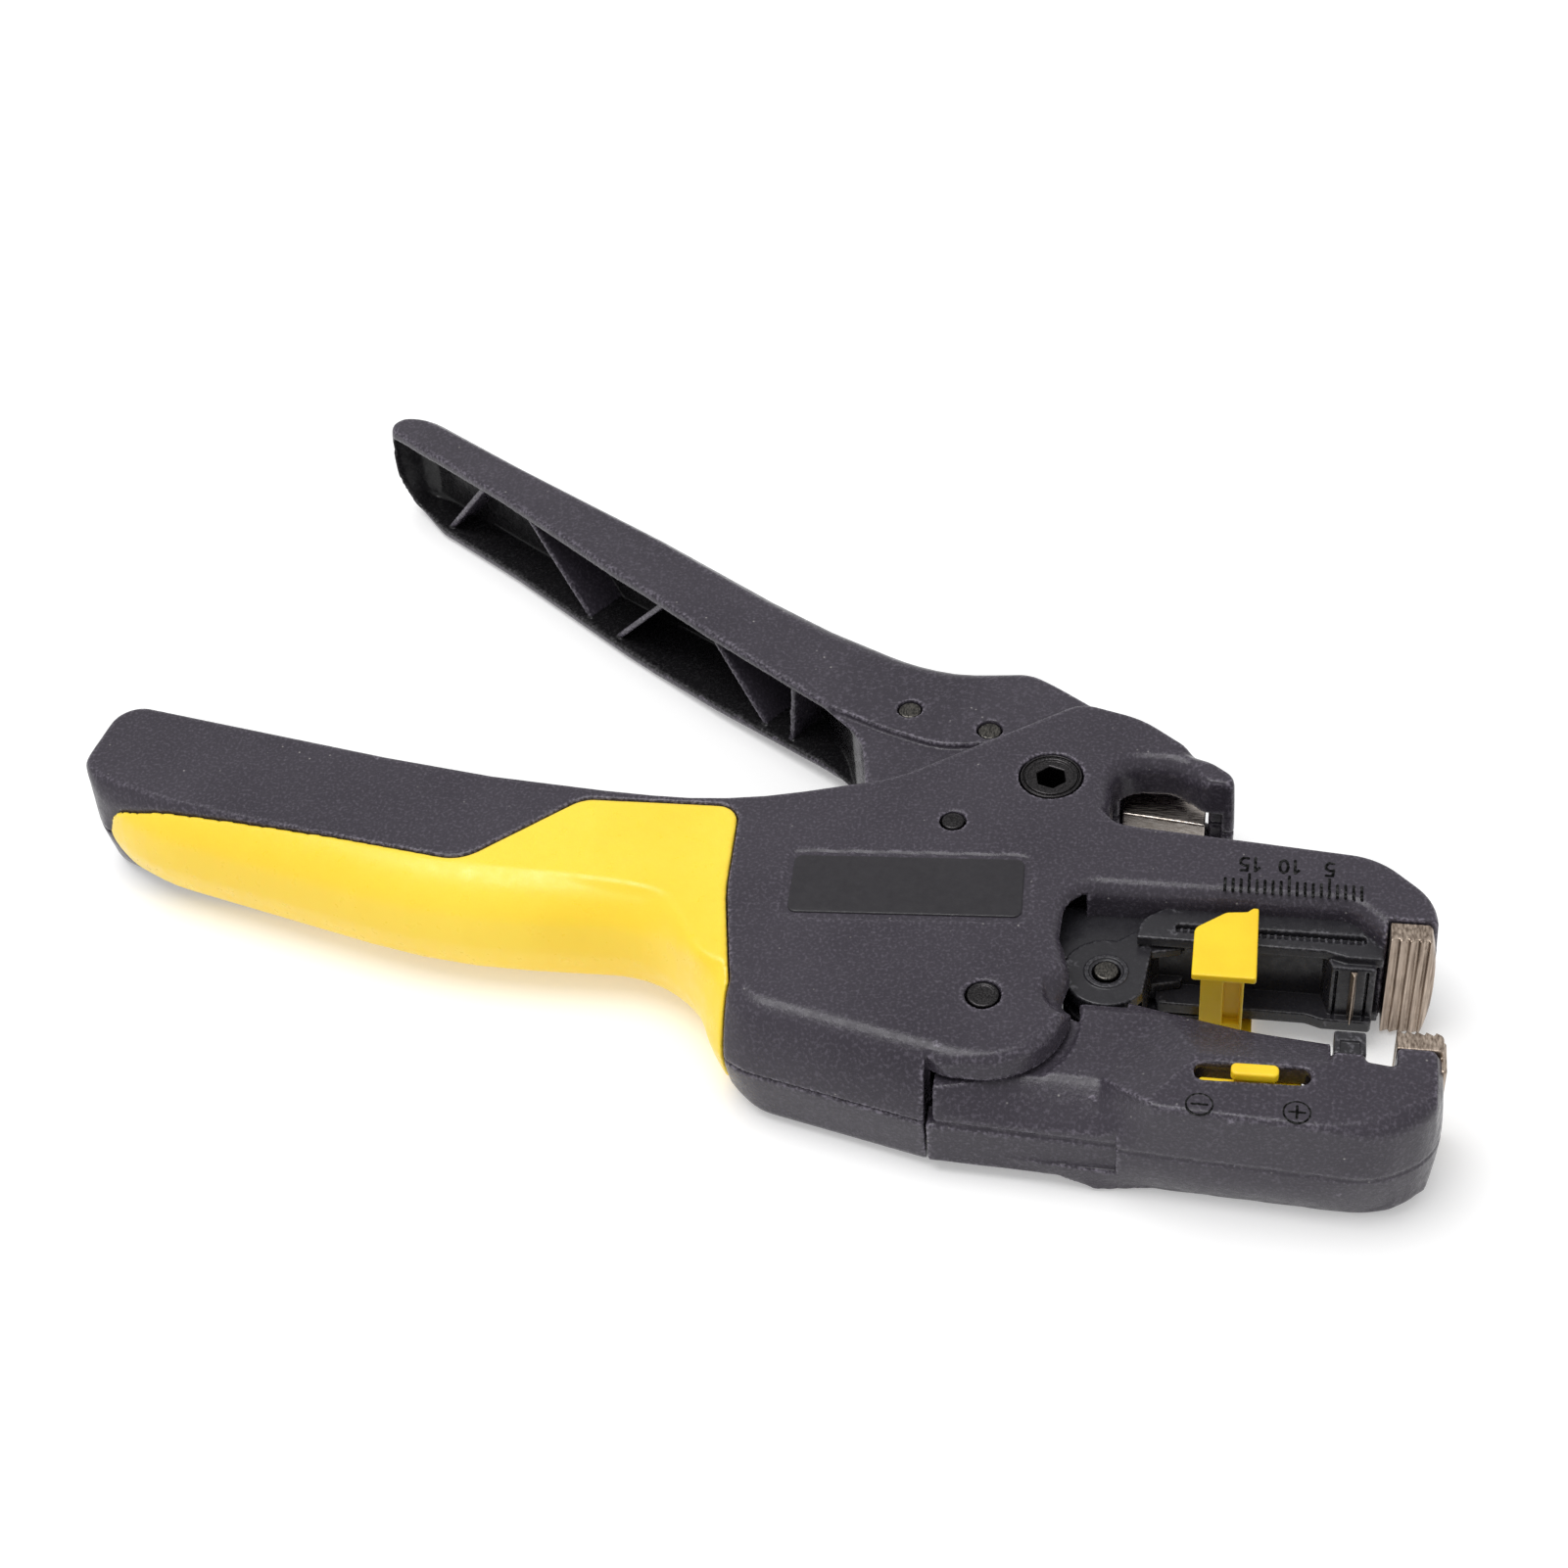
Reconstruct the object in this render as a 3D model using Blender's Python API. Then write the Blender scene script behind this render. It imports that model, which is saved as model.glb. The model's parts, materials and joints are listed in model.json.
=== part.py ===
"""Self-adjusting wire stripper on its side: +X towards the jaws, +Y towards the squeeze lever, +Z up.

Plan sizes are millimetres from the scale's zero tick on the fixed jaw, heights are millimetres above the
middle plane where the two body shells meet.
"""

import bpy
import bmesh
from math import acos, cos, degrees, pi, radians, sin, sqrt, tau
from mathutils import Matrix, Vector

MM = 0.001

# Driving dimensions
HALF = 9.2                      # half the thickness of the body
WALL = 1.7                      # side wall of a shell
GAP = 0.3                       # clearance between touching pieces
SEAM = 0.15                     # each shell stops this far from the middle plane
RECESS = 3.3                    # depth of the carriage plates below the side face
PLAN_CENTRE = (-84.62, 30.26)   # plan point under which the model's origin lies

# Axes of the moving pieces, plan points
LEVER_AXIS = (-40.9, 19.0)
JAW_AXIS = (-45.5, -20.6)
ROCKER_AXIS = (-53.0, 9.3)
ROCKER_ARM = (-48.6, -3.6)
HUB = (-31.1, -11.0)
HUB_HALF = 4.2
LEVER_PINS = ((-62.2, 33.0), (-50.5, 29.6))

# Clamping jaws
CLAMP_X = (3.6, 9.3)
UPPER_CLAMP_FACE = -7.7
LOWER_CLAMP_FACE = -20.9
CLAMP_HALF = 7.8

# The link lies on one side of the rocker
LINK_LOW = 0.2
LINK_HIGH = 1.8

BLACK = (0.030, 0.029, 0.031)
YELLOW = (0.95, 0.66, 0.07)
STEEL = (0.42, 0.40, 0.38)
DARK_STEEL = (0.10, 0.10, 0.10)


# ---------------------------------------------------------------- helpers

def clear_scene():
    for item in list(bpy.data.objects):
        bpy.data.objects.remove(item, do_unlink=True)


def material(name, colour, roughness, metallic=0.0):
    found = bpy.data.materials.get(name)
    if found:
        return found
    made = bpy.data.materials.new(name)
    made.use_nodes = True
    shader = made.node_tree.nodes["Principled BSDF"]
    shader.inputs["Base Color"].default_value = (*colour, 1.0)
    shader.inputs["Roughness"].default_value = roughness
    shader.inputs["Metallic"].default_value = metallic
    return made


def black_plastic():
    return material("black_plastic", BLACK, 0.55)


def yellow_plastic():
    return material("yellow_plastic", YELLOW, 0.40)


def yellow_rubber():
    return material("yellow_rubber", YELLOW, 0.60)


def bright_steel():
    return material("bright_steel", STEEL, 0.35, 1.0)


def dark_steel():
    return material("dark_steel", DARK_STEEL, 0.40, 1.0)


def rounded(corners, step=18.0):
    """Outline from (x, y, radius) corners: each corner becomes an arc with a point every step degrees."""
    outline = []
    count = len(corners)
    for index, (x, y, radius, *_) in enumerate(corners):
        here = Vector((x, y))
        before = Vector(corners[index - 1][:2]) - here
        after = Vector(corners[(index + 1) % count][:2]) - here
        if radius <= 0:
            outline.append((x, y))
            continue
        before_dir = before.normalized()
        after_dir = after.normalized()
        inside = acos(max(-1.0, min(1.0, before_dir.dot(after_dir))))
        reach = radius / max(1e-6, abs(sin(inside / 2) / cos(inside / 2)))
        reach = min(reach, 0.49 * before.length, 0.49 * after.length)
        radius = reach * sin(inside / 2) / cos(inside / 2)
        start = here + before_dir * reach
        end = here + after_dir * reach
        centre = here + (before_dir + after_dir).normalized() * sqrt(reach ** 2 + radius ** 2)
        turn = pi - inside
        pieces = max(1, round(degrees(turn) / step))
        spoke = start - centre
        side = 1.0 if spoke.x * (end - centre).y - spoke.y * (end - centre).x > 0 else -1.0
        for piece in range(pieces + 1):
            swing = side * turn * piece / pieces
            spun = Matrix.Rotation(swing, 2) @ spoke
            outline.append((centre.x + spun.x, centre.y + spun.y))
    return outline


def circle(centre, radius, count=24, start=0.0):
    angles = [start + tau * k / count for k in range(count)]
    return [(centre[0] + radius * cos(a), centre[1] + radius * sin(a)) for a in angles]


def arc(centre, radius, from_deg, to_deg, count):
    """Sharp corners along an arc, ready to be joined into a corner list."""
    angles = [radians(from_deg + (to_deg - from_deg) * k / count) for k in range(count + 1)]
    return [(centre[0] + radius * cos(a), centre[1] + radius * sin(a), 0) for a in angles]


def box_outline(x0, x1, y0, y1):
    return [(x0, y0), (x1, y0), (x1, y1), (x0, y1)]


def signed_area(outline):
    total = 0.0
    for (x0, y0), (x1, y1) in zip(outline, outline[1:] + outline[:1]):
        total += x0 * y1 - x1 * y0
    return total / 2


def solid(name, outline, low, high, skin=None):
    """Extrude a plan outline from height low to high; all in millimetres."""
    if signed_area(outline) < 0:
        outline = outline[::-1]
    mesh = bmesh.new()
    bottom = [mesh.verts.new((x * MM, y * MM, low * MM)) for x, y in outline]
    top = [mesh.verts.new((x * MM, y * MM, high * MM)) for x, y in outline]
    mesh.faces.new(bottom[::-1])
    mesh.faces.new(top)
    count = len(outline)
    for k in range(count):
        mesh.faces.new((bottom[k], bottom[(k + 1) % count], top[(k + 1) % count], top[k]))
    return finish_mesh(name, mesh, skin)


def finish_mesh(name, mesh, skin):
    data = bpy.data.meshes.new(name)
    mesh.to_mesh(data)
    mesh.free()
    item = bpy.data.objects.new(name, data)
    bpy.context.scene.collection.objects.link(item)
    if skin:
        data.materials.append(skin)
    return item


def dress(item, skin):
    """Give a finished part its one material, in place of any its cutters left behind."""
    item.data.materials.clear()
    item.data.materials.append(skin)


def turned(name, centre, profile, skin=None, count=24):
    """Solid of revolution about a vertical axis; the profile is (radius, height) from bottom to top."""
    mesh = bmesh.new()
    rings = []
    for radius, height in profile:
        if radius <= 0:
            rings.append([mesh.verts.new((centre[0] * MM, centre[1] * MM, height * MM))])
            continue
        outline = circle(centre, radius, count)
        rings.append([mesh.verts.new((x * MM, y * MM, height * MM)) for x, y in outline])
    closed = profile[0][0] > 0
    pairs = list(zip(rings, rings[1:] + (rings[:1] if closed else [])))
    if not closed:
        pairs = pairs[:len(rings) - 1]
    for lower, upper in pairs:
        for k in range(count):
            after = (k + 1) % count
            if len(lower) == 1:
                mesh.faces.new((lower[0], upper[after], upper[k]))
            elif len(upper) == 1:
                mesh.faces.new((lower[k], lower[after], upper[0]))
            else:
                mesh.faces.new((lower[k], lower[after], upper[after], upper[k]))
    bmesh.ops.recalc_face_normals(mesh, faces=mesh.faces)
    return finish_mesh(name, mesh, skin)


def combine(item, other, operation):
    """Apply one exact boolean and drop the second solid."""
    modifier = item.modifiers.new(operation.lower(), "BOOLEAN")
    modifier.object = other
    modifier.operation = operation
    modifier.solver = "EXACT"
    bake(item)
    bpy.data.objects.remove(other, do_unlink=True)
    return item


def bake(item):
    """Replace an object's mesh with its evaluated one."""
    graph = bpy.context.evaluated_depsgraph_get()
    graph.update()
    made = bpy.data.meshes.new_from_object(item.evaluated_get(graph))
    item.modifiers.clear()
    item.data = made


def cut(item, other):
    return combine(item, other, "DIFFERENCE")


def join(item, other):
    return combine(item, other, "UNION")


def keep(item, other):
    return combine(item, other, "INTERSECT")


def inset_corners(corners, depth):
    """Move each side inwards by depth times its weight, the optional fourth number of its corner."""
    count = len(corners)
    spots = [Vector(corner[:2]) for corner in corners]
    weights = [corner[3] if len(corner) > 3 else 1.0 for corner in corners]
    moved = []
    for index in range(count):
        before, here, after = spots[index - 1], spots[index], spots[(index + 1) % count]
        into, out = (here - before).normalized(), (after - here).normalized()
        into_shift, out_shift = weights[index - 1] * depth, weights[index] * depth
        bend = into.x * out.y - into.y * out.x
        if abs(bend) < 0.02:
            spot = here + Vector((-out.y, out.x)) * (into_shift + out_shift) / 2
        else:
            start = here + Vector((-into.y, into.x)) * into_shift
            goal = here + Vector((-out.y, out.x)) * out_shift
            gap = goal - start
            spot = start + into * (gap.x * out.y - gap.y * out.x) / bend
        radius = corners[index][2]
        if radius > 0:
            shift = min(into_shift, out_shift)
            radius = max(0.05, radius - shift) if bend > 0 else radius + shift
        moved.append((spot.x, spot.y, radius))
    return moved


def loft(name, corners, levels, skin=None, step=18.0):
    """Solid through inset outlines, from (height, inset) levels listed bottom to top."""
    if signed_area([corner[:2] for corner in corners]) < 0:
        raise ValueError(name + ": list the corners anticlockwise")
    mesh = bmesh.new()
    rings = []
    for height, depth in levels:
        outline = rounded(inset_corners(corners, depth), step)
        rings.append([mesh.verts.new((x * MM, y * MM, height * MM)) for x, y in outline])
    count = len(rings[0])
    mesh.faces.new(rings[0][::-1])
    mesh.faces.new(rings[-1])
    for lower, upper in zip(rings, rings[1:]):
        for k in range(count):
            after = (k + 1) % count
            mesh.faces.new((lower[k], lower[after], upper[after], upper[k]))
    return finish_mesh(name, mesh, skin)


def both_ways(levels):
    """Levels above the middle plane, repeated below it."""
    below = [(-height, depth) for height, depth in reversed(levels) if height > 0]
    return below + [level for level in levels if level[0] > 0]


def mirrored(item, name):
    """The same solid on the other side of the middle plane."""
    twin = bpy.data.objects.new(name, item.data.copy())
    twin.data.transform(Matrix.Scale(-1, 4, (0, 0, 1)))
    twin.data.flip_normals()
    bpy.context.scene.collection.objects.link(twin)
    return twin


def rest_on(item, axis_empty):
    """Give a piece its axis as origin and hang it on that axis's empty."""
    x, y = axis_empty["plan_x"], axis_empty["plan_y"]
    item.data.transform(Matrix.Translation((-x * MM, -y * MM, 0)))
    item.parent = axis_empty
    for face in item.data.polygons:
        face.use_smooth = True
    item.data.set_sharp_from_angle(angle=radians(35))
    return item


def axis(name, plan, parent):
    marker = bpy.data.objects.new(name, None)
    marker.empty_display_size = 0.01
    bpy.context.scene.collection.objects.link(marker)
    marker["plan_x"] = plan[0]
    marker["plan_y"] = plan[1]
    if parent:
        marker.parent = parent
        marker.location = ((plan[0] - parent["plan_x"]) * MM, (plan[1] - parent["plan_y"]) * MM, 0)
    else:
        marker.location = ((plan[0] - PLAN_CENTRE[0]) * MM, (plan[1] - PLAN_CENTRE[1]) * MM, HALF * MM)
    return marker


# ---------------------------------------------------------------- outlines

LOBE_RADIUS = 11.3
SKIN = 2.2      # thickness of the soft grip over its core
CORE_FOOT = 9.0  # the core's widest level lies this far below three quarters of its height
PALM = 2.4      # how much more the palm side of the handle is rounded than the other sides
EDGE = 0.15     # the same for edges that are nearly square
CROWN = ((0.0, 0.0), (4.6, 0.25), (7.4, 0.9), (8.7, 1.8), (HALF, 3.0))


def body_corners():
    """Widest outline of the body with the fixed handle, the hook of the cutter and the fixed jaw."""
    handle = [(-178.3, 23.6, 4), (-179.9, 9.5, 9, PALM), (-168.5, 0.4, 30, PALM), (-121.0, -12.2, 90, PALM),
              (-93.0, -12.6, 22, PALM), (-84.0, -18.6, 20), (-78.6, -28.0, 7), (-52.0, -34.2, 0, 0.4)]
    lobe = [(x, y, radius, 0.4) for x, y, radius in arc(JAW_AXIS, LOBE_RADIUS, -122, 12, 9)]
    recess_edge = [(-33.4, -16.9, 1.5, EDGE), (3.3, -5.6, 0, EDGE)]
    front = [(9.9, -5.3, 0, 0.7), (9.6, 2.6, 7, 0.7), (2.0, 8.0, 8, 0.6), (-12.0, 9.3, 60, 0.4),
             (-28.8, 10.9, 1, 0.4)]
    notch = [(-32.4, 11.6, 2.5, 0.3), (-32.4, 22.4, 4, 0.3), (-24.4, 22.6, 4, EDGE), (-20.6, 19.2, 2, EDGE)]
    nose = [(-16.7, 18.9, 0.8, 0.3), (-16.7, 21.6, 2, 0.3), (-29.5, 31.6, 14, 0.5)]
    back = [(-38.2, 34.6, 5, 0.7), (-62.0, 18.2, 20, 0.8), (-84.0, 11.4, 60), (-118.0, 12.1, 300)]
    return handle + lobe + recess_edge + front + notch + nose + back


def cavity_corners():
    """Hollow between the shells around the lever's head, the drive and the jaw's root."""
    return [(-76.0, 9.0, 3), (-77.5, -20.0, 6), (-72.5, -25.6, 4), (-60.0, -28.0, 2), (-57.0, -13.0, 2),
            (-34.0, -10.0, 0), (-34.5, 0.5, 1), (2.5, 0.5, 1), (2.5, 3.9, 1), (-20.0, 6.9, 1), (-34.0, 8.4, 1),
            (-34.0, 31.0, 1), (-38.0, 31.5, 1), (-61.0, 15.5, 5)]


def lever_mouth_corners():
    """Opening in the top edge of the body through which the lever comes out."""
    return [(-73.5, 8.0, 0), (-44.5, 24.0, 0), (-34.2, 28.0, 0), (-34.2, 38.0, 0), (-60.0, 38.0, 0),
            (-73.5, 20.0, 0)]


def grip_corners(inset):
    """Region of the fixed handle covered by the soft grip."""
    top = [(-175.0, 5.2, 3), (-168.0, 3.4, 10), (-118.0, -3.9, 6), (-104.0, 9.2, 5), (-82.2, 9.6, 3)]
    side = [(-81.0, -6.0, 20), (-77.8, -20.5, 3)]
    outside = [(-79.0, -36.0, 0), (-190.0, -36.0, 0), (-190.0, 5.2, 0)]
    return top + side + outside if not inset else shrink(top + side + outside, inset)


def shrink(corners, inset):
    """Move the grip's inner edges back by a small gap: down on the top edge, left on the side edge."""
    moved = []
    for x, y, radius in corners:
        down = inset if y > -5 and x > -180 else 0
        left = inset if x > -104 else 0
        moved.append((x - left, y - down, radius))
    return moved


def jaw_corners():
    """Lower jaw in plan, without its root."""
    left = [(x, y, radius, 0) for x, y, radius in arc(JAW_AXIS, LOBE_RADIUS + 0.5, 16, -75, 6)]
    lower = [(-43.0, -35.0, 0.5), (-18.0, -37.5, 60), (2.5, -38.6, 9), (10.1, -33.0, 9, 0.5)]
    upper = [(10.2, -23.6, 0.8, 0), (4.1, -23.2, 0, 0), (4.0, -26.4, 0.5, 0), (0.8, -26.0, 0.5, 0),
             (0.8, -22.6, 0, 0), (-5.4, -21.6, 0, 0), (-12.9, -20.4, 20, 0), (-31.0, -15.9, 0.8, 0)]
    return left + lower + upper


def lever_corners():
    """Lever in plan: handle, head and the short arm below the cutter's notch."""
    lower = [(-159.6, 93.6, 3, 0), (-140.0, 81.8, 200, 0), (-103.0, 52.6, 300, 0), (-75.0, 33.8, 6, 0),
             (-68.4, 27.0, 8, 0), (-66.0, 15.2, 1, 0), (-57.5, 18.6, 1, 0)]
    arm = [(-46.0, 12.6, 4, 0), (-37.5, 9.6, 1, 0), (-21.6, 6.0, 0.5, 0), (-21.6, 9.2, 0, 0),
           (-34.8, 13.6, 0, 0)]
    back = [(-35.2, 33.8, 2), (-46.0, 41.6, 7), (-60.5, 42.4, 30), (-81.0, 53.2, 120), (-133.0, 86.2, 60),
            (-153.8, 100.4, 6)]
    return lower + arm + back


# ---------------------------------------------------------------- body

def body_solid(name):
    """Full outer form of the body above the middle plane, with its crowned sides."""
    return loft(name, body_corners(), CROWN)


def lever_pocket(name):
    return solid(name, rounded(lever_mouth_corners()), -HALF, HALF - WALL)


def make_shell():
    """Upper shell: side wall, rim, recess floor, openings for lever, jaw, cutter and window."""
    shell = body_solid("body_shell_upper")
    cut(shell, solid("below", box_outline(-200, 40, -60, 60), -1, SEAM))
    cut(shell, solid("cavity", rounded(cavity_corners()), -1, HALF - WALL))
    cut(shell, lever_pocket("mouth"))
    cut(shell, window_cutter())
    cut(shell, jaw_root_cutter())
    cut(shell, solid("arm_slot", box_outline(-34.5, -18.0, 4.0, 20.8), -1, 3.4))
    cut(shell, solid("tongue_slot", box_outline(-37.5, 2.5, -2.0, 3.8), -1, 3.4))
    cut(shell, solid("anvil_seat", box_outline(-31.8, -19.8, 17.0, 26.5), -1, 3.3))
    cut(shell, solid("clamp_seat", box_outline(3.3, 9.7, -9.0, -3.2), -1, CLAMP_HALF + GAP))
    cut(shell, handle_core("handle_hollow", 4.4))
    for centre, radius in ((LEVER_AXIS, 4.5), (ROCKER_AXIS, 1.8), (JAW_AXIS, 2.35)):
        cut(shell, solid("bore", circle(centre, radius), -1, HALF + 1))
    cut(shell, label_cutter(0.0, 0.8))
    return cut(shell, grip_cutter())


def window_cutter():
    """The gap behind the fixed jaw, right through, for the carriage and the length stop."""
    corners = [(-34.2, -18.0, 0), (-36.7, -9.0, 4), (-36.3, -1.3, 4), (-1.2, -1.3, 3), (3.4, -6.2, 0),
               (3.4, -20.0, 0), (-30.0, -20.0, 0)]
    return solid("window", rounded(corners), -1, HALF + 1)


def jaw_root_cutter():
    """Room between the two lobes for the lower jaw's root and for the carriage's hub when pulled back."""
    corners = [(-51.0, -40.0, 0), (-51.0, -29.0, 1), (-54.0, -18.0, 3), (-50.0, -11.0, 3), (-46.0, -4.0, 0),
               (-30.0, -4.0, 0), (-20.0, -40.0, 0)]
    return solid("jaw_room", rounded(corners), -1, 5.6)


def label_cutter(inset, depth):
    centre, half_long, half_high, tilt = Vector((-57.5, -3.1)), 15.2 - inset, 5.2 - inset, 0.06
    corners = []
    for sx, sy in ((-1, -1), (1, -1), (1, 1), (-1, 1)):
        spot = centre + Matrix.Rotation(tilt, 2) @ Vector((sx * half_long, sy * half_high))
        corners.append((spot.x, spot.y, 1.2))
    return solid("label", rounded(corners), HALF - depth, HALF + (1 if inset == 0 else -0.3))


def handle_core(name, inset):
    """Hollow of the handle: its form moved in by inset from the palm side, and less from the faces."""
    corners = [(-176.5 + inset / 2, 19.5, 3), (-176.5 + inset / 2, 9.5, 6), (-166.0, 2.2 + inset * 0.8, 30),
               (-121.0, -12.2 + inset, 90), (-93.0, -12.6 + inset, 22), (-82.0, -18.0 + inset, 15),
               (-82.0, 7.5, 2), (-118.0, 8.3, 200)]
    return solid(name, rounded(corners), -1, HALF - inset + 1.2)


def grip_cutter():
    """Space of the soft grip: the covered region without the handle's core."""
    region = solid("grip_space", rounded(grip_corners(0)), -1, HALF + 1)
    return cut(region, grown_core(0.0))


def grown_core(extra):
    """Core under the grip; extra grows it so that the grip keeps clear of it."""
    corners = [(-172.0, 30.0, 0, 0), (-176.8, 9.0, 7, PALM), (-166.5, 2.6, 30, PALM), (-121.0, -9.9, 90, PALM),
               (-93.5, -10.3, 22, PALM), (-86.0, -15.6, 18), (-81.5, -24.5, 3), (-70.0, -26.0, 0, 0),
               (-70.0, 30.0, 0, 0)]
    weights = [(*corner, 1.0)[3] for corner in corners]
    grown = [(*corner[:3], 1.0 if weight else 0.0) for corner, weight in zip(corners, weights)]
    shaped = [(*spot, weight) for spot, weight in zip(inset_corners(grown, -extra), weights)]
    top = HALF - SKIN + extra
    waist = top * 0.75 - CORE_FOOT
    levels = ((-top, 2.2), (waist, 0.0), (top * 0.6, 0.2), (top * 0.85, 0.9), (top, 2.2))
    return loft("core", shaped, levels)


def make_grip():
    """Soft overmoulded grip around the palm side of the fixed handle, one piece over both shells."""
    half = body_solid("soft_grip")
    keep(half, solid("region", rounded(grip_corners(GAP)), -0.5, HALF + 1))
    cut(half, grown_core(GAP))
    weld_halves(half, mirrored(half, "other_half"))
    return half


def weld_halves(half, other):
    """Join two mirror halves that share the middle plane into one closed solid."""
    mesh = bmesh.new()
    mesh.from_mesh(half.data)
    mesh.from_mesh(other.data)
    flat = [face for face in mesh.faces if all(abs(v.co.z) < 1e-7 for v in face.verts)]
    bmesh.ops.delete(mesh, geom=flat, context="FACES")
    bmesh.ops.remove_doubles(mesh, verts=mesh.verts[:], dist=2e-6)
    bmesh.ops.recalc_face_normals(mesh, faces=mesh.faces)
    mesh.to_mesh(half.data)
    mesh.free()
    bpy.data.objects.remove(other, do_unlink=True)


def make_label():
    plate = label_cutter(GAP, 0.5)
    plate.name = "label_plate"
    dress(plate, black_plastic())
    return plate


def make_bushing():
    """Hollow hexagon-socket bolt on which the lever turns."""
    high = HALF - 0.1
    profile = [(2.6, -high), (4.1, -high), (4.1, high), (2.6, high)]
    bushing = turned("pivot_bushing", LEVER_AXIS, profile, dark_steel())
    return cut(bushing, solid("socket", circle(LEVER_AXIS, 3.4, 6, radians(30)), HALF - 3.5, HALF + 1))


def make_pin(name, centre, radius, half_length, skin=None):
    profile = [(0, -half_length), (radius - 0.2, -half_length), (radius, -half_length + 0.2),
               (radius, half_length - 0.2), (radius - 0.2, half_length), (0, half_length)]
    return turned(name, centre, profile, skin or dark_steel(), 20)


def make_link_pin():
    """Pin in the carriage's hub, around which the pull link's eye sits."""
    return make_pin("link_pin", HUB, 1.6, HUB_HALF + 0.2)


def make_torsion_spring():
    """Return spring of the lever, wound around the bushing between the lever's cheeks."""
    return coil("lever_return_spring", LEVER_AXIS, 4.9, 0.35, 4, -2.4, 2.4)


def coil(name, centre, radius, wire, turns, low, high):
    steps = 14 * turns
    points = []
    for k in range(steps + 1):
        angle = tau * turns * k / steps
        height = low + (high - low) * k / steps
        points.append((centre[0] + radius * cos(angle), centre[1] + radius * sin(angle), height))
    return wire_piece(name, points, wire)


def wire_piece(name, points, wire):
    curve = bpy.data.curves.new(name, "CURVE")
    curve.dimensions = "3D"
    curve.bevel_depth = wire * MM
    curve.bevel_resolution = 1
    curve.use_fill_caps = True
    spline = curve.splines.new("POLY")
    spline.points.add(len(points) - 1)
    for point, (x, y, z) in zip(spline.points, points):
        point.co = (x * MM, y * MM, z * MM, 1)
    bender = bpy.data.objects.new(name + "_curve", curve)
    bpy.context.scene.collection.objects.link(bender)
    graph = bpy.context.evaluated_depsgraph_get()
    data = bpy.data.meshes.new_from_object(bender.evaluated_get(graph))
    bpy.data.objects.remove(bender, do_unlink=True)
    mesh = bmesh.new()
    mesh.from_mesh(data)
    bmesh.ops.remove_doubles(mesh, verts=mesh.verts[:], dist=1e-6)
    bmesh.ops.recalc_face_normals(mesh, faces=mesh.faces)
    return finish_mesh(name, mesh, dark_steel())


def make_carriage_spring():
    """Return spring of the blade carriage, lying in the fixed jaw above the carriage."""
    turns, start, length, radius, wire = 9, -33.0, 30.0, 1.25, 0.32
    steps = 10 * turns
    points = []
    for k in range(steps + 1):
        angle = tau * turns * k / steps
        share = k / steps
        height = 5.5 + radius * sin(angle)
        points.append((start + length * share, 4.6 - 2.3 * share + radius * cos(angle), height))
    return wire_piece("carriage_return_spring", points, wire)


def make_anvil():
    """Steel anvil of the cable cutter, set into the hook of the nose."""
    outline = [(-31.4, 21.2), (-20.2, 19.8), (-20.2, 24.3), (-27.0, 25.4), (-31.4, 25.4)]
    return solid("cutter_anvil", outline, -2.8, 2.8, bright_steel())


def make_clamp_insert(name, face, tilt, thickness, upwards):
    """Serrated steel insert: flat back, saw teeth across the clamping face."""
    teeth, low_x, high_x = 5, CLAMP_X[0], CLAMP_X[1]
    pitch = (high_x - low_x) / teeth
    points = []
    for k in range(teeth):
        x = low_x + pitch * k
        points.append((x, face))
        points.append((x + pitch * 0.75, face - 0.45 * upwards))
    points.append((high_x, face))
    points.append((high_x, face - thickness * upwards))
    points.append((low_x, face - thickness * upwards))
    pivot = Vector((low_x, face))
    spin = Matrix.Rotation(tilt, 2)
    outline = [tuple(pivot + spin @ (Vector(p) - pivot)) for p in points]
    return solid(name, outline, -CLAMP_HALF, CLAMP_HALF, bright_steel())


# ---------------------------------------------------------------- lever

def lever_width(x):
    """Half-width factor along the lever: narrow at the head, wide in the hand, narrower at the tip."""
    if x > -76:
        return 0.80
    if x > -106:
        return 0.80 + 0.20 * (-76 - x) / 30
    if x > -145:
        return 1.0
    return 1.0 - 0.12 * (-145 - x) / 15


def make_lever():
    wide = 8.9
    lever = loft("lever", lever_corners(), both_ways(((6.4, 0.0), (8.2, 0.8), (wide, 2.6))), step=15.0)
    channel = [(-157.2, 94.6, 3), (-153.6, 97.6, 3), (-132.2, 83.2, 60), (-80.5, 50.2, 60), (-72.0, 34.6, 6),
               (-67.2, 21.0, 3), (-67.5, 8.0, 0), (-170.0, 70.0, 0)]
    hollow = solid("channel", rounded(channel), -wide + 1.9, wide - 1.9)
    for near, far, flip in (((-131.7, 72.9), (-120.5, 64.0), 1), ((-103.5, 51.4), (-115.0, 60.0), 1),
                            ((-96.2, 46.2), (-86.6, 40.0), 1), ((-81.4, 36.0), (-82.6, 38.0), 1),
                            ((-139.4, 78.4), (-149.0, 88.0), 1)):
        cut(hollow, rib(near, far, wide))
    cut(lever, hollow)
    for vertex in lever.data.vertices:
        vertex.co.z *= lever_width(vertex.co.x / MM)
    return lever_head_cuts(lever)


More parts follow.
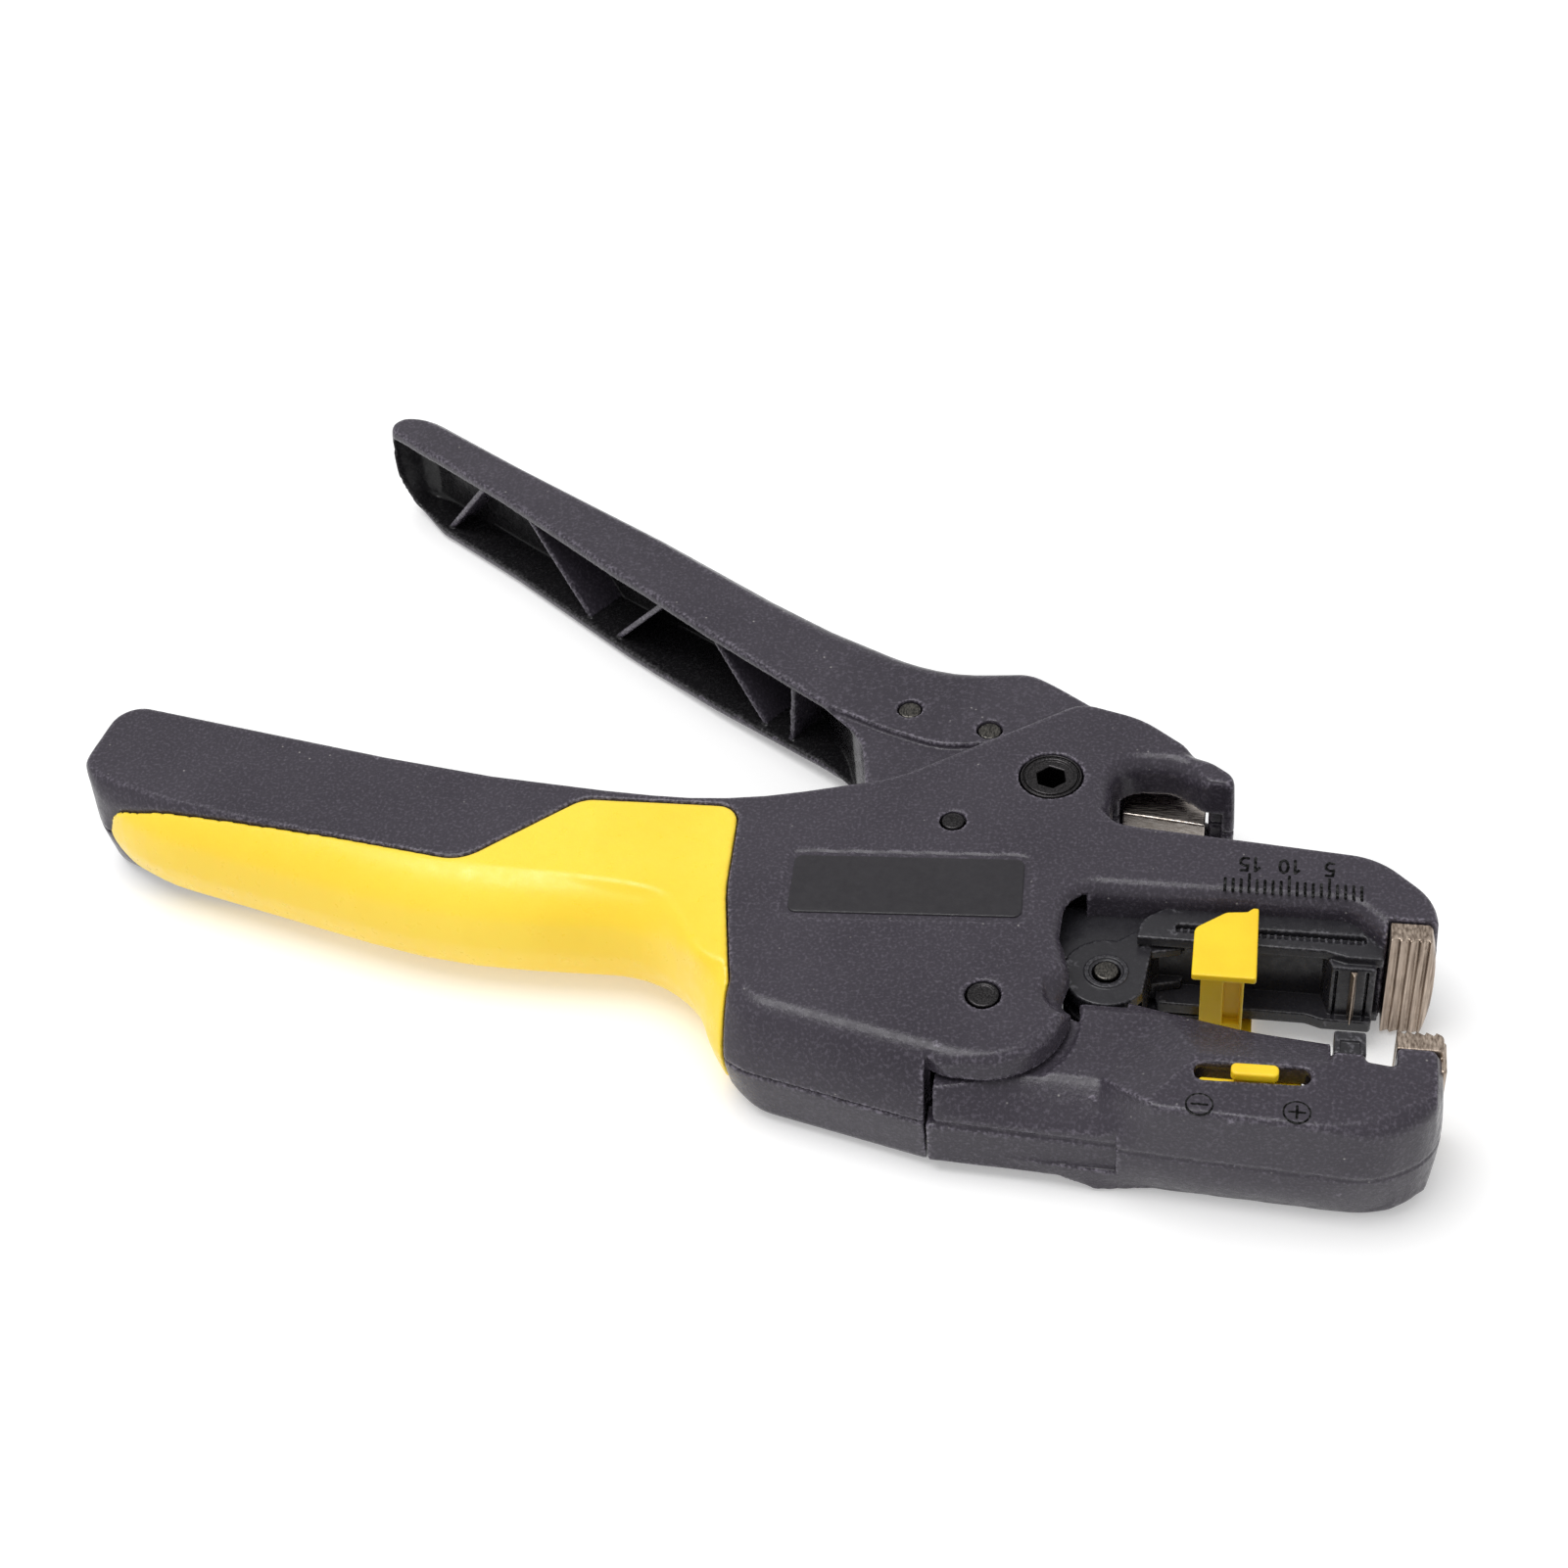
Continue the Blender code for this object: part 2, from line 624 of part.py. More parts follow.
def rib(near, far, wide):
    """Slanted wall inside the channel, from the upper cheek at near to the lower cheek at far."""
    mesh = bmesh.new()
    thick = 0.6
    top, base = wide - 1.5, -wide + 1.5
    rise, lift = 26.0, 3.0
    slope = Vector((0.55, 0.84))
    corners = []
    for (x, y), height, reaches in ((near, top, (lift, rise)), (far, base, (rise, lift))):
        for reach in reaches:
            spot = Vector((x, y)) + slope * reach
            corners.append(Vector((spot.x, spot.y, height)))
    shift = Vector((thick, 0.0, 0.0))
    front = [mesh.verts.new((corner - shift) * MM) for corner in corners]
    back = [mesh.verts.new((corner + shift) * MM) for corner in corners]
    mesh.faces.new(front)
    mesh.faces.new(back[::-1])
    for k in range(4):
        mesh.faces.new((front[k], back[k], back[(k + 1) % 4], front[(k + 1) % 4]))
    bmesh.ops.recalc_face_normals(mesh, faces=mesh.faces)
    return finish_mesh("rib", mesh, None)


def lever_head_cuts(lever):
    """Thin the head where it runs between the shells and open it for bushing, spring, rocker and pins."""
    cheek = [(-78.0, 35.0, 0), (-75.2, 33.3, 0), (-65.0, 28.6, 12), (-57.0, 25.8, 12), (-49.0, 27.0, 6),
             (-33.0, 37.0, 0), (-18.0, 30.0, 0), (-18.0, 2.0, 0), (-78.0, 2.0, 0)]
    cut(lever, solid("cheek_cut", rounded(cheek), 6.3, HALF))
    cut(lever, solid("cheek_cut", rounded(cheek), -HALF, -6.3))
    middle = [(-60.0, 24.0, 3), (-47.0, 29.0, 4), (-31.0, 25.0, 0), (-31.0, 13.6, 0), (-46.0, 13.6, 0),
              (-49.0, 9.0, 0), (-64.0, 13.0, 0)]
    cut(lever, solid("spring_room", rounded(middle), -3.2, 3.2))
    arm = box_outline(-46.5, -18.0, 2.0, 19.0)
    cut(lever, solid("arm_side", arm, 3.0, HALF))
    cut(lever, solid("arm_side", arm, -HALF, -3.0))
    for low, high in ((2.9, 6.3), (-6.3, -2.9)):
        join(lever, solid("hub", circle(LEVER_AXIS, 6.6), low, high))
    blade_step = [(-34.8, 22.0), (-34.8, 11.9), (-20.0, 7.4), (-18.0, 22.0)]
    cut(lever, solid("blade_step", blade_step, -0.1, 4.0))
    cut(lever, solid("bore", circle(LEVER_AXIS, 4.4), -HALF, HALF))
    for centre in LEVER_PINS:
        cut(lever, solid("bore", circle(centre, 1.8, 20), -HALF, HALF))
    return lever


def make_cutter_blade():
    """Blade of the cable cutter on the lever's short arm; its edge closes flat on the anvil."""
    outline = [(-33.2, 12.6), (-22.2, 8.8), (-22.2, 10.4), (-31.2, 16.0), (-33.2, 16.0)]
    return solid("cutter_blade", outline, 0.2, 2.6, bright_steel())


# ---------------------------------------------------------------- lower jaw

def make_jaw():
    high = HALF - 0.2
    jaw = loft("lower_jaw", jaw_corners(), both_ways(((4.6, 0.2), (7.4, 0.7), (8.5, 1.4), (high, 2.4))))
    step = [(-60.0, -40.0, 0), (-60.0, -10.0, 0), (-28.0, -10.0, 0), (-28.0, -24.0, 4), (-21.0, -40.0, 0)]
    cut(jaw, solid("left_step", rounded(step), HALF - 3.9, HALF + 1))
    cut(jaw, solid("left_step", rounded(step), -HALF - 1, -HALF + 3.9))
    cheek_room = solid("cheek_room", box_outline(-60.0, -28.0, -45.0, -10.0), -4.5, 4.5)
    cut(jaw, cheek_room)
    root = [*arc(JAW_AXIS, 5.4, 40, 190, 7), (-50.4, -29.0, 0), (-50.4, -34.1, 0), (-28.0, -35.8, 0),
            (-28.0, -23.0, 0)]
    join(jaw, solid("root", rounded(root), -4.9, 4.9))
    channel = [(-30.0, -12.0, 0), (-30.0, -26.0, 2), (-22.0, -31.6, 4), (1.0, -33.2, 3), (1.0, -12.0, 0)]
    cut(jaw, solid("channel", rounded(channel), -6.0, 6.0))
    for side in (1, -1):
        facet = slab_cutter(side)
        cut(jaw, facet)
    slot = rounded([(-19.2, -31.0, 1.2), (-5.8, -30.6, 1.2), (-5.8, -28.2, 1.2), (-19.2, -28.6, 1.2)])
    cut(jaw, solid("slider_slot", slot, 4.0, HALF + 1))
    cut(jaw, solid("insert_seat", box_outline(4.1, 11.0, -22.9, -18.0), -HALF, HALF))
    return cut(jaw, solid("bore", circle(JAW_AXIS, 2.35), -HALF, HALF))


def slab_cutter(side):
    """Slanted cutter that thins a cheek towards the wire gap."""
    mesh = bmesh.new()
    deep, out = HALF - 2.1, HALF + 2.0
    verts = []
    for x in (-30.5, 0.4):
        fall = -0.2 * (x + 24.0)
        for y, z in ((-9.0 + fall, deep), (-19.6 + fall, deep), (-27.6 + fall, HALF - 0.1), (-27.6 + fall, out),
                     (-9.0 + fall, out)):
            verts.append(mesh.verts.new((x * MM, y * MM, side * z * MM)))
    left, right = verts[:5], verts[5:]
    mesh.faces.new(left)
    mesh.faces.new(right[::-1])
    for k in range(5):
        mesh.faces.new((left[k], right[k], right[(k + 1) % 5], left[(k + 1) % 5]))
    bmesh.ops.recalc_face_normals(mesh, faces=mesh.faces)
    return finish_mesh("facet", mesh, None)


def make_depth_slider():
    """Cutting-depth slider: button outside the cheek, neck in its slot, plate inside."""
    plate = [(-18.2, -31.0), (-6.6, -30.6), (-6.6, -26.8), (-18.2, -27.2)]
    slider = solid("depth_slider", plate, 4.2, 5.6, yellow_plastic())
    join(slider, solid("neck", box_outline(-14.6, -9.8, -30.4, -29.0), 5.0, HALF + 0.2))
    button = rounded([(-15.0, -30.5, 0.7), (-9.4, -30.4, 0.7), (-9.4, -28.6, 0.7), (-15.0, -28.7, 0.7)])
    return join(slider, solid("button", button, HALF - 0.9, HALF + 0.5))


def make_lower_holder():
    """Lower blade holder, sliding in the jaw's channel."""
    return solid("lower_blade_holder", box_outline(-3.0, 0.5, -26.0, -21.2), -5.5, 5.5, black_plastic())


def make_lower_blade():
    return solid("lower_blade", [(-0.9, -20.9), (-0.1, -20.9), (-0.5, -19.7)], -4.6, 4.6, bright_steel())


# ---------------------------------------------------------------- carriage and stop

def make_carriage():
    """Blade carriage: two slotted side plates, a bar between them and the upper blade's seat."""
    plate = [(-27.4, -6.3, 0), (-27.0, -3.4, 2), (-24.0, -1.7, 2), (-1.4, -1.7, 3), (3.0, -6.4, 0),
             (3.0, -7.3, 0), (-1.4, -7.3, 0), (-4.2, -6.5, 0)]
    outline = rounded(plate)
    carriage = solid("blade_carriage", outline, 4.3, HALF - RECESS, black_plastic())
    join(carriage, solid("plate", outline, -HALF + RECESS, -4.3))
    bar = [(-27.0, -5.0), (-24.0, -2.0), (-1.6, -2.0), (2.2, -5.6), (2.2, -8.2), (-3.2, -8.2), (-4.2, -5.0)]
    join(carriage, solid("bar", bar, -4.8, 4.8))
    join(carriage, solid("tongue", box_outline(-24.0, -2.0, -3.0, 3.1), -3.0, 3.0))
    hub = [*arc(HUB, 5.5, 80, 330, 16), (-25.6, -6.0, 0), (-24.0, -4.0, 0), (-27.0, -3.0, 0)]
    join(carriage, solid("hub", rounded(hub), -HUB_HALF, HUB_HALF))
    cut(carriage, solid("link_slot", box_outline(-38.0, -26.4, -20.0, 0.0), LINK_LOW - GAP, LINK_HIGH + GAP))
    cut(carriage, solid("pin_bore", circle(HUB, 1.9, 20), -HALF, HALF))
    for low, high in ((4.9, HALF), (-HALF, -4.9)):
        cut(carriage, solid("slot", box_outline(-22.9, 0.9, -4.75, -3.9), low, high))
    return carriage


def make_upper_blade():
    return solid("upper_blade", [(-0.5, -9.5), (-0.1, -8.5), (-0.9, -8.5)], -4.6, 4.6, bright_steel())


def make_stop():
    """Length stop: plates outside the jaw's cheeks, a neck on each side and a web across the wire gap."""
    plate = [(-20.4, -14.9, 0.3), (-20.4, -7.0, 1.5), (-16.6, -4.0, 1.5), (-14.0, -3.7, 0), (-12.6, -3.0, 0),
             (-12.5, -14.9, 0.3)]
    outline = rounded(plate)
    low = HALF - 1.1
    stop = solid("length_stop", outline, low, HALF - 0.05, yellow_plastic())
    join(stop, solid("plate", outline, -HALF + 0.05, -low))
    join(stop, solid("neck", box_outline(-19.2, -14.0, -11.6, -9.0), -low - 0.3, low + 0.3))
    return join(stop, solid("web", box_outline(-19.3, -13.9, -12.4, -8.8), -5.6, 5.6))


# ---------------------------------------------------------------- drive

def make_rocker():
    """Rocker that turns the lever's squeeze into the backward pull of the carriage."""
    outline = [*arc(ROCKER_AXIS, 4.0, -10, 190, 8), (-54.0, -2.5, 0), *arc(ROCKER_ARM, 2.2, 200, 370, 6)]
    rocker = solid("pull_rocker", rounded(outline), -2.8, -0.2, dark_steel())
    cut(rocker, solid("bore", circle(ROCKER_AXIS, 1.8, 20), -4, 4))
    return cut(rocker, solid("bore", circle(ROCKER_ARM, 1.5, 20), -4, 4))


def make_rocker_pin():
    profile = [(0, -2.8), (1.2, -2.8), (1.2, 2.8), (0, 2.8)]
    return turned("rocker_pin", ROCKER_ARM, profile, bright_steel(), 16)


def make_link():
    """Flat link from the rocker to the carriage's hub."""
    outline = [*arc(ROCKER_ARM, 2.6, 70, 250, 6), *arc(HUB, 4.0, 250, 430, 8)]
    link = solid("pull_link", rounded(outline), LINK_LOW, LINK_HIGH, dark_steel())
    cut(link, solid("bore", circle(HUB, 2.7, 20), -4, 4))
    return cut(link, solid("bore", circle(ROCKER_ARM, 1.5, 20), -4, 4))


def build():
    clear_scene()
    body = axis("tool_axis", (0.0, 0.0), None)
    lever_axis = axis("lever_axis", LEVER_AXIS, body)
    jaw_axis = axis("jaw_axis", JAW_AXIS, body)
    rocker_axis = axis("rocker_axis", ROCKER_AXIS, body)
    arm_axis = axis("link_axis", ROCKER_ARM, rocker_axis)
    carriage_axis = axis("carriage_axis", (0.0, -6.0), body)
    stop_axis = axis("stop_axis", (-16.5, -4.3), carriage_axis)
    slider_axis = axis("slider_axis", (-12.2, -29.5), jaw_axis)
    holder_axis = axis("holder_axis", (-1.2, -24.0), jaw_axis)

    shell = make_shell()
    dress(shell, black_plastic())
    lower_shell = mirrored(shell, "body_shell_lower")
    grip = make_grip()
    dress(grip, yellow_rubber())
    fixed = [shell, lower_shell, grip, make_label(), make_bushing(), make_torsion_spring(),
             make_carriage_spring(), make_anvil(), make_pin("rocker_pivot_pin", ROCKER_AXIS, 1.5, HALF - 0.1),
             make_pin("jaw_pivot_pin", JAW_AXIS, 2.0, HALF - 0.1),
             make_clamp_insert("upper_clamp_insert", UPPER_CLAMP_FACE, 0.0, 2.3, -1)]
    for item in fixed:
        rest_on(item, body)

    lever = make_lever()
    dress(lever, black_plastic())
    pins = [make_pin(name, centre, 1.5, 6.9)
            for name, centre in zip(("lever_pin_rear", "lever_pin_front"), LEVER_PINS)]
    for item in (lever, make_cutter_blade(), *pins):
        rest_on(item, lever_axis)

    jaw = make_jaw()
    dress(jaw, black_plastic())
    rest_on(jaw, jaw_axis)
    rest_on(make_clamp_insert("lower_clamp_insert", LOWER_CLAMP_FACE, radians(-6), 1.7, 1), jaw_axis)
    rest_on(make_depth_slider(), slider_axis)
    rest_on(make_lower_holder(), holder_axis)
    rest_on(make_lower_blade(), holder_axis)

    rest_on(make_carriage(), carriage_axis)
    rest_on(make_upper_blade(), carriage_axis)
    rest_on(make_link_pin(), carriage_axis)
    rest_on(make_stop(), stop_axis)

    rest_on(make_rocker(), rocker_axis)
    rest_on(make_rocker_pin(), rocker_axis)
    rest_on(make_link(), arm_axis)


build()
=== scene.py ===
"""Looks of the self-adjusting wire stripper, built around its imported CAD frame.

Plan sizes are millimetres from the scale's zero tick on the fixed jaw. Heights are millimetres above the
middle plane, as in the CAD source. The moulded pieces are worked out as signed distances on a grid and
meshed from there, so that every edge carries its own rounding.
"""

import json

import bpy
import numpy as np
from math import acos, ceil, cos, degrees, pi, radians, sin, sqrt
from mathutils import Matrix, Vector


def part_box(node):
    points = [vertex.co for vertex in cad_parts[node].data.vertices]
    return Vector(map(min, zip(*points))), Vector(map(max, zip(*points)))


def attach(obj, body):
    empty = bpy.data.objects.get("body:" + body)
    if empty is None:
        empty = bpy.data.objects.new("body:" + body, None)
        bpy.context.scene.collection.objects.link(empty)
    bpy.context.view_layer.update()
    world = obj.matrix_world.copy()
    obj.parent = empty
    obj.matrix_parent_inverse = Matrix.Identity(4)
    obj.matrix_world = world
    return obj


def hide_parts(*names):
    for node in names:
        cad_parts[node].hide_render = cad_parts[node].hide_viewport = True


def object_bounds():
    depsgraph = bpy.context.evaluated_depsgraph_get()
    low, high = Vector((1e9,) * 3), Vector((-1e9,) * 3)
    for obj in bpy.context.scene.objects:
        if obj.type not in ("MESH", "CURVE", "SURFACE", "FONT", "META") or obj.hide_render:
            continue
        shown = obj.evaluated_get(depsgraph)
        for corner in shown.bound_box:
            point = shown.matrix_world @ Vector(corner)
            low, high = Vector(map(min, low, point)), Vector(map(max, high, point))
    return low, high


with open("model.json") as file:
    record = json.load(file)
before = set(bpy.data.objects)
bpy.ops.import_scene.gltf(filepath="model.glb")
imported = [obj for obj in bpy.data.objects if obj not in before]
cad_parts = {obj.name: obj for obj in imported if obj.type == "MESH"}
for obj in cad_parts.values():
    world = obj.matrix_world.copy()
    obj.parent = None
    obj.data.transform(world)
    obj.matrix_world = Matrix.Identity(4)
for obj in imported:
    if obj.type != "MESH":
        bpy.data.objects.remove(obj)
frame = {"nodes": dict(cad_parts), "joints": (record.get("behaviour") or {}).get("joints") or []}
CAD_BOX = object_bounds()

MM = 0.001
HALF = 9.2                      # half the thickness of the body
LEVER_HALF = 8.9                # the same of the lever
PLATEAU, LOW_CHEEK = 9.0, 5.25  # and of the lower jaw, in front and beside its pin
CELL = 0.3                      # grid of the shells
WALL = 1.7                      # of the shells and the lever's channel
PROUD = 0.02                    # thin marks stand this far out of the face
LEVER_AXIS = (-40.9, 19.0)
JAW_AXIS = (-45.5, -20.6)
ROCKER_AXIS = (-53.0, 9.3)
LEVER_PINS = ((-62.2, 33.0), (-50.5, 29.6))
HUB = (-31.1, -11.0)

# The plan point over the frame's origin follows from the lever's joint
JOINT = next(joint for joint in frame["joints"] if joint["name"] == "lever_squeeze")
PLAN_X = LEVER_AXIS[0] - JOINT["pos_m"][0] / MM
PLAN_Y = LEVER_AXIS[1] - JOINT["pos_m"][1] / MM
ORIGIN = Vector((-PLAN_X, -PLAN_Y, HALF))


# ---------------------------------------------------------------- outlines

def rounded(corners, step=7.0):
    """Outline from (x, y, radius) corners; an arc has a point every step degrees or so."""
    outline = []
    count = len(corners)
    for index, (x, y, radius) in enumerate(corners):
        here = Vector((x, y))
        before = Vector(corners[index - 1][:2]) - here
        after = Vector(corners[(index + 1) % count][:2]) - here
        if radius <= 0:
            outline.append((x, y))
            continue
        before_dir, after_dir = before.normalized(), after.normalized()
        inside = acos(max(-1.0, min(1.0, before_dir.dot(after_dir))))
        half_tan = sin(inside / 2) / cos(inside / 2)
        reach = min(radius / max(1e-6, half_tan), 0.49 * before.length, 0.49 * after.length)
        radius = reach * half_tan
        start, end = here + before_dir * reach, here + after_dir * reach
        centre = here + (before_dir + after_dir).normalized() * sqrt(reach ** 2 + radius ** 2)
        turn = pi - inside
        spoke = start - centre
        side = 1.0 if spoke.cross(end - centre) > 0 else -1.0
        pieces = max(1, round(degrees(turn) / step))
        for piece in range(pieces + 1):
            spot = centre + Matrix.Rotation(side * turn * piece / pieces, 2) @ spoke
            outline.append((spot.x, spot.y))
    return outline


def arc(centre, radius, from_deg, to_deg, count):
    angles = [radians(from_deg + (to_deg - from_deg) * k / count) for k in range(count + 1)]
    return [(centre[0] + radius * cos(a), centre[1] + radius * sin(a), 0) for a in angles]


def box_outline(x0, x1, y0, y1, radius=0.0):
    return rounded([(x0, y0, radius), (x1, y0, radius), (x1, y1, radius), (x0, y1, radius)], 15.0)


def tilted_box(centre, half_long, half_high, tilt, radius):
    corners = []
    for sx, sy in ((-1, -1), (1, -1), (1, 1), (-1, 1)):
        spot = Vector(centre) + Matrix.Rotation(tilt, 2) @ Vector((sx * half_long, sy * half_high))
        corners.append((spot.x, spot.y, radius))
    return rounded(corners, 15.0)


BODY = rounded([
    (-177.7, 23.6, 4.5), (-179.1, 8.2, 8), (-168.5, 0.2, 30), (-121.0, -11.7, 90), (-92.6, -11.0, 20),
    (-83.8, -16.9, 18), (-78.8, -28.0, 11), (-52.0, -34.2, 0), (-40.0, -37.0, 0), (-30.0, -37.0, 0),
    (-30.0, -20.0, 0), (-33.4, -16.9, 0), (3.3, -5.6, 0), (9.9, -5.3, 0), (9.3, 1.0, 10), (2.2, 7.9, 10),
    (-12.0, 9.3, 60), (-28.8, 10.9, 1), (-32.4, 11.6, 2.5), (-32.4, 22.4, 4), (-24.4, 22.6, 4),
    (-20.6, 19.2, 2), (-16.2, 18.9, 0.8), (-16.4, 21.4, 3), (-29.3, 31.9, 14), (-38.2, 34.6, 5),
    (-62.0, 17.4, 20), (-84.0, 10.7, 60), (-118.0, 12.5, 300)], 5.0)
POCKET = [*[spot[:2] for spot in arc(JAW_AXIS, 11.3, -122, 20, 24)], (-34.0, -12.0), (-20.0, -12.0),
          (-20.0, -45.0), (-51.5, -45.0)]
WINDOW = rounded([(-34.2, -18.0, 0), (-36.7, -9.0, 4), (-36.3, -1.3, 9), (-1.2, -1.3, 3), (3.4, -6.2, 0),
                  (3.4, -20.0, 0), (-30.0, -20.0, 0)])
CAVITY = rounded([(-76.0, 9.0, 3), (-77.5, -20.0, 6), (-72.5, -25.6, 4), (-60.0, -28.0, 2), (-57.0, -13.0, 2),
                  (-34.0, -10.0, 0), (-34.5, 0.5, 1), (2.5, 0.5, 1), (2.5, 3.9, 1), (-20.0, 6.9, 1),
                  (-34.0, 8.4, 1), (-34.0, 31.0, 1), (-38.0, 31.5, 1), (-61.0, 15.5, 5)])
MOUTH = [(-73.5, 8.0), (-44.5, 24.0), (-34.2, 28.0), (-34.2, 38.0), (-60.0, 38.0), (-73.5, 20.0)]
JAW_ROOM = rounded([(-51.0, -40.0, 0), (-51.0, -29.0, 1), (-54.0, -18.0, 3), (-50.0, -11.0, 3),
                    (-46.0, -4.0, 0), (-30.0, -4.0, 0), (-20.0, -40.0, 0)])
GRIP = rounded([(-175.0, 5.2, 3), (-168.0, 3.4, 10), (-118.0, -3.9, 6), (-104.0, 9.2, 5), (-82.2, 9.6, 3),
                (-81.0, -6.0, 20), (-77.8, -20.5, 3), (-79.0, -36.0, 0), (-190.0, -36.0, 0),
                (-190.0, 5.2, 0)])
JAW = rounded([*arc(JAW_AXIS, 11.8, 16, -75, 14), (-43.0, -35.0, 0.5), (-18.0, -36.5, 60), (2.5, -37.5, 10),
               (10.08, -32.4, 9), (10.08, -23.6, 0.8), (4.1, -23.2, 0), (4.0, -26.4, 0.5), (0.8, -26.0, 0.5),
               (0.8, -22.6, 0.3), (-5.4, -21.6, 0.5), (-12.9, -20.4, 20), (-27.6, -15.6, 3),
               (-31.7, -12.6, 0.6)], 5.0)
JAW_ROOT = rounded([*arc(JAW_AXIS, 5.4, 40, 190, 10), (-50.4, -29.0, 0), (-50.4, -34.1, 0.5),
                    (-27.0, -35.2, 0), (-27.0, -23.0, 0)])
LEVER = rounded([
    (-161.4, 94.4, 4.5), (-141.0, 81.2, 200), (-103.3, 52.1, 300), (-75.2, 33.4, 6), (-68.4, 27.0, 8),
    (-66.0, 15.2, 1), (-57.5, 18.6, 1), (-46.0, 12.6, 4), (-37.5, 9.6, 1), (-21.6, 6.0, 0.5),
    (-21.6, 9.2, 0), (-34.8, 13.6, 0), (-34.8, 34.6, 2), (-45.8, 42.6, 7), (-60.5, 43.2, 30),
    (-80.8, 53.5, 120), (-132.9, 86.2, 60), (-153.7, 100.0, 6)], 5.0)
CHANNEL = rounded([(-158.4, 94.6, 3), (-153.8, 98.0, 3), (-132.2, 83.2, 60), (-80.5, 50.2, 60),
                   (-72.0, 34.6, 6), (-67.2, 21.0, 3), (-67.5, 8.0, 0), (-170.0, 70.0, 0)])
THIN_CHEEK = rounded([(-78.0, 35.0, 0), (-75.2, 33.3, 0), (-65.0, 28.6, 12), (-57.0, 25.8, 12),
                      (-49.0, 27.0, 6), (-33.0, 37.0, 0), (-18.0, 30.0, 0), (-18.0, 2.0, 0),
                      (-78.0, 2.0, 0)])
SPRING_ROOM = rounded([(-60.0, 24.0, 3), (-47.0, 29.0, 4), (-31.0, 25.0, 0), (-31.0, 13.6, 0),
                       (-46.0, 13.6, 0), (-49.0, 9.0, 0), (-64.0, 13.0, 0)])
LABEL_CENTRE, LABEL_TILT = (-57.5, -3.1), 0.06


# ---------------------------------------------------------------- distances on a grid

class Grid:
    """Sample points of a box; low and high are its corners in millimetres."""

    def __init__(self, low, high, cell):
        self.low, self.cell = np.array(low, np.float32), cell
        counts = [ceil((high[k] - low[k]) / cell) + 1 for k in range(3)]
        ticks = [(low[k] + cell * np.arange(counts[k])).astype(np.float32) for k in range(3)]
        self.x, self.y, self.z = ticks[0][:, None, None], ticks[1][None, :, None], ticks[2][None, None, :]
        self.up = np.abs(self.z)

    def plan(self, outline):
        """Distance to an outline in plan, negative inside."""
        x, y = np.broadcast_arrays(self.x[:, :, 0], self.y[:, :, 0])
        best = np.full(x.shape, 1e9, np.float32)
        inside = np.zeros(x.shape, bool)
        for (ax, ay), (bx, by) in zip(outline, outline[1:] + outline[:1]):
            ex, ey = bx - ax, by - ay
            length = ex * ex + ey * ey
            if length < 1e-9:
                continue
            along = np.clip(((x - ax) * ex + (y - ay) * ey) / length, 0, 1)
            best = np.minimum(best, (x - ax - along * ex) ** 2 + (y - ay - along * ey) ** 2)
            crossing = (ay > y) != (by > y)
            if ey:
                inside ^= crossing & (x < ax + (y - ay) * ex / ey)
        return (np.sqrt(best) * np.where(inside, -1, 1)).astype(np.float32)[:, :, None]

    def disc(self, centre, radius):
        return np.sqrt((self.x - centre[0]) ** 2 + (self.y - centre[1]) ** 2) - radius

    def slab(self, low, high):
        return np.maximum(low - self.z, self.z - high)

    def cheeks(self, low, high):
        """Two slabs, mirrored in the middle plane."""
        return np.maximum(low - self.up, self.up - high)


def ramp(value, low, high):
    """0 below low, 1 above high, smooth between."""
    t = np.clip((value - low) / (high - low), 0, 1)
    return t * t * (3 - 2 * t)


def both(a, b, radius=0.0):
    """Intersection with a rounded edge."""
    if np.isscalar(radius) and radius <= 0:
        return np.maximum(a, b)
    rest = np.minimum(np.maximum(a, b), -radius)
    return rest + np.sqrt(np.maximum(a + radius, 0) ** 2 + np.maximum(b + radius, 0) ** 2)


def without(a, b, radius=0.0):
    return both(a, -b, radius)


def either(a, b, radius=0.0):
    """Union with a fillet."""
    return -both(-a, -b, radius)


def soft_min(a, b, blend):
    """The lower of two heights, with a soft change between them."""
    return 0.5 * (a + b - np.sqrt((a - b) ** 2 + blend ** 2))


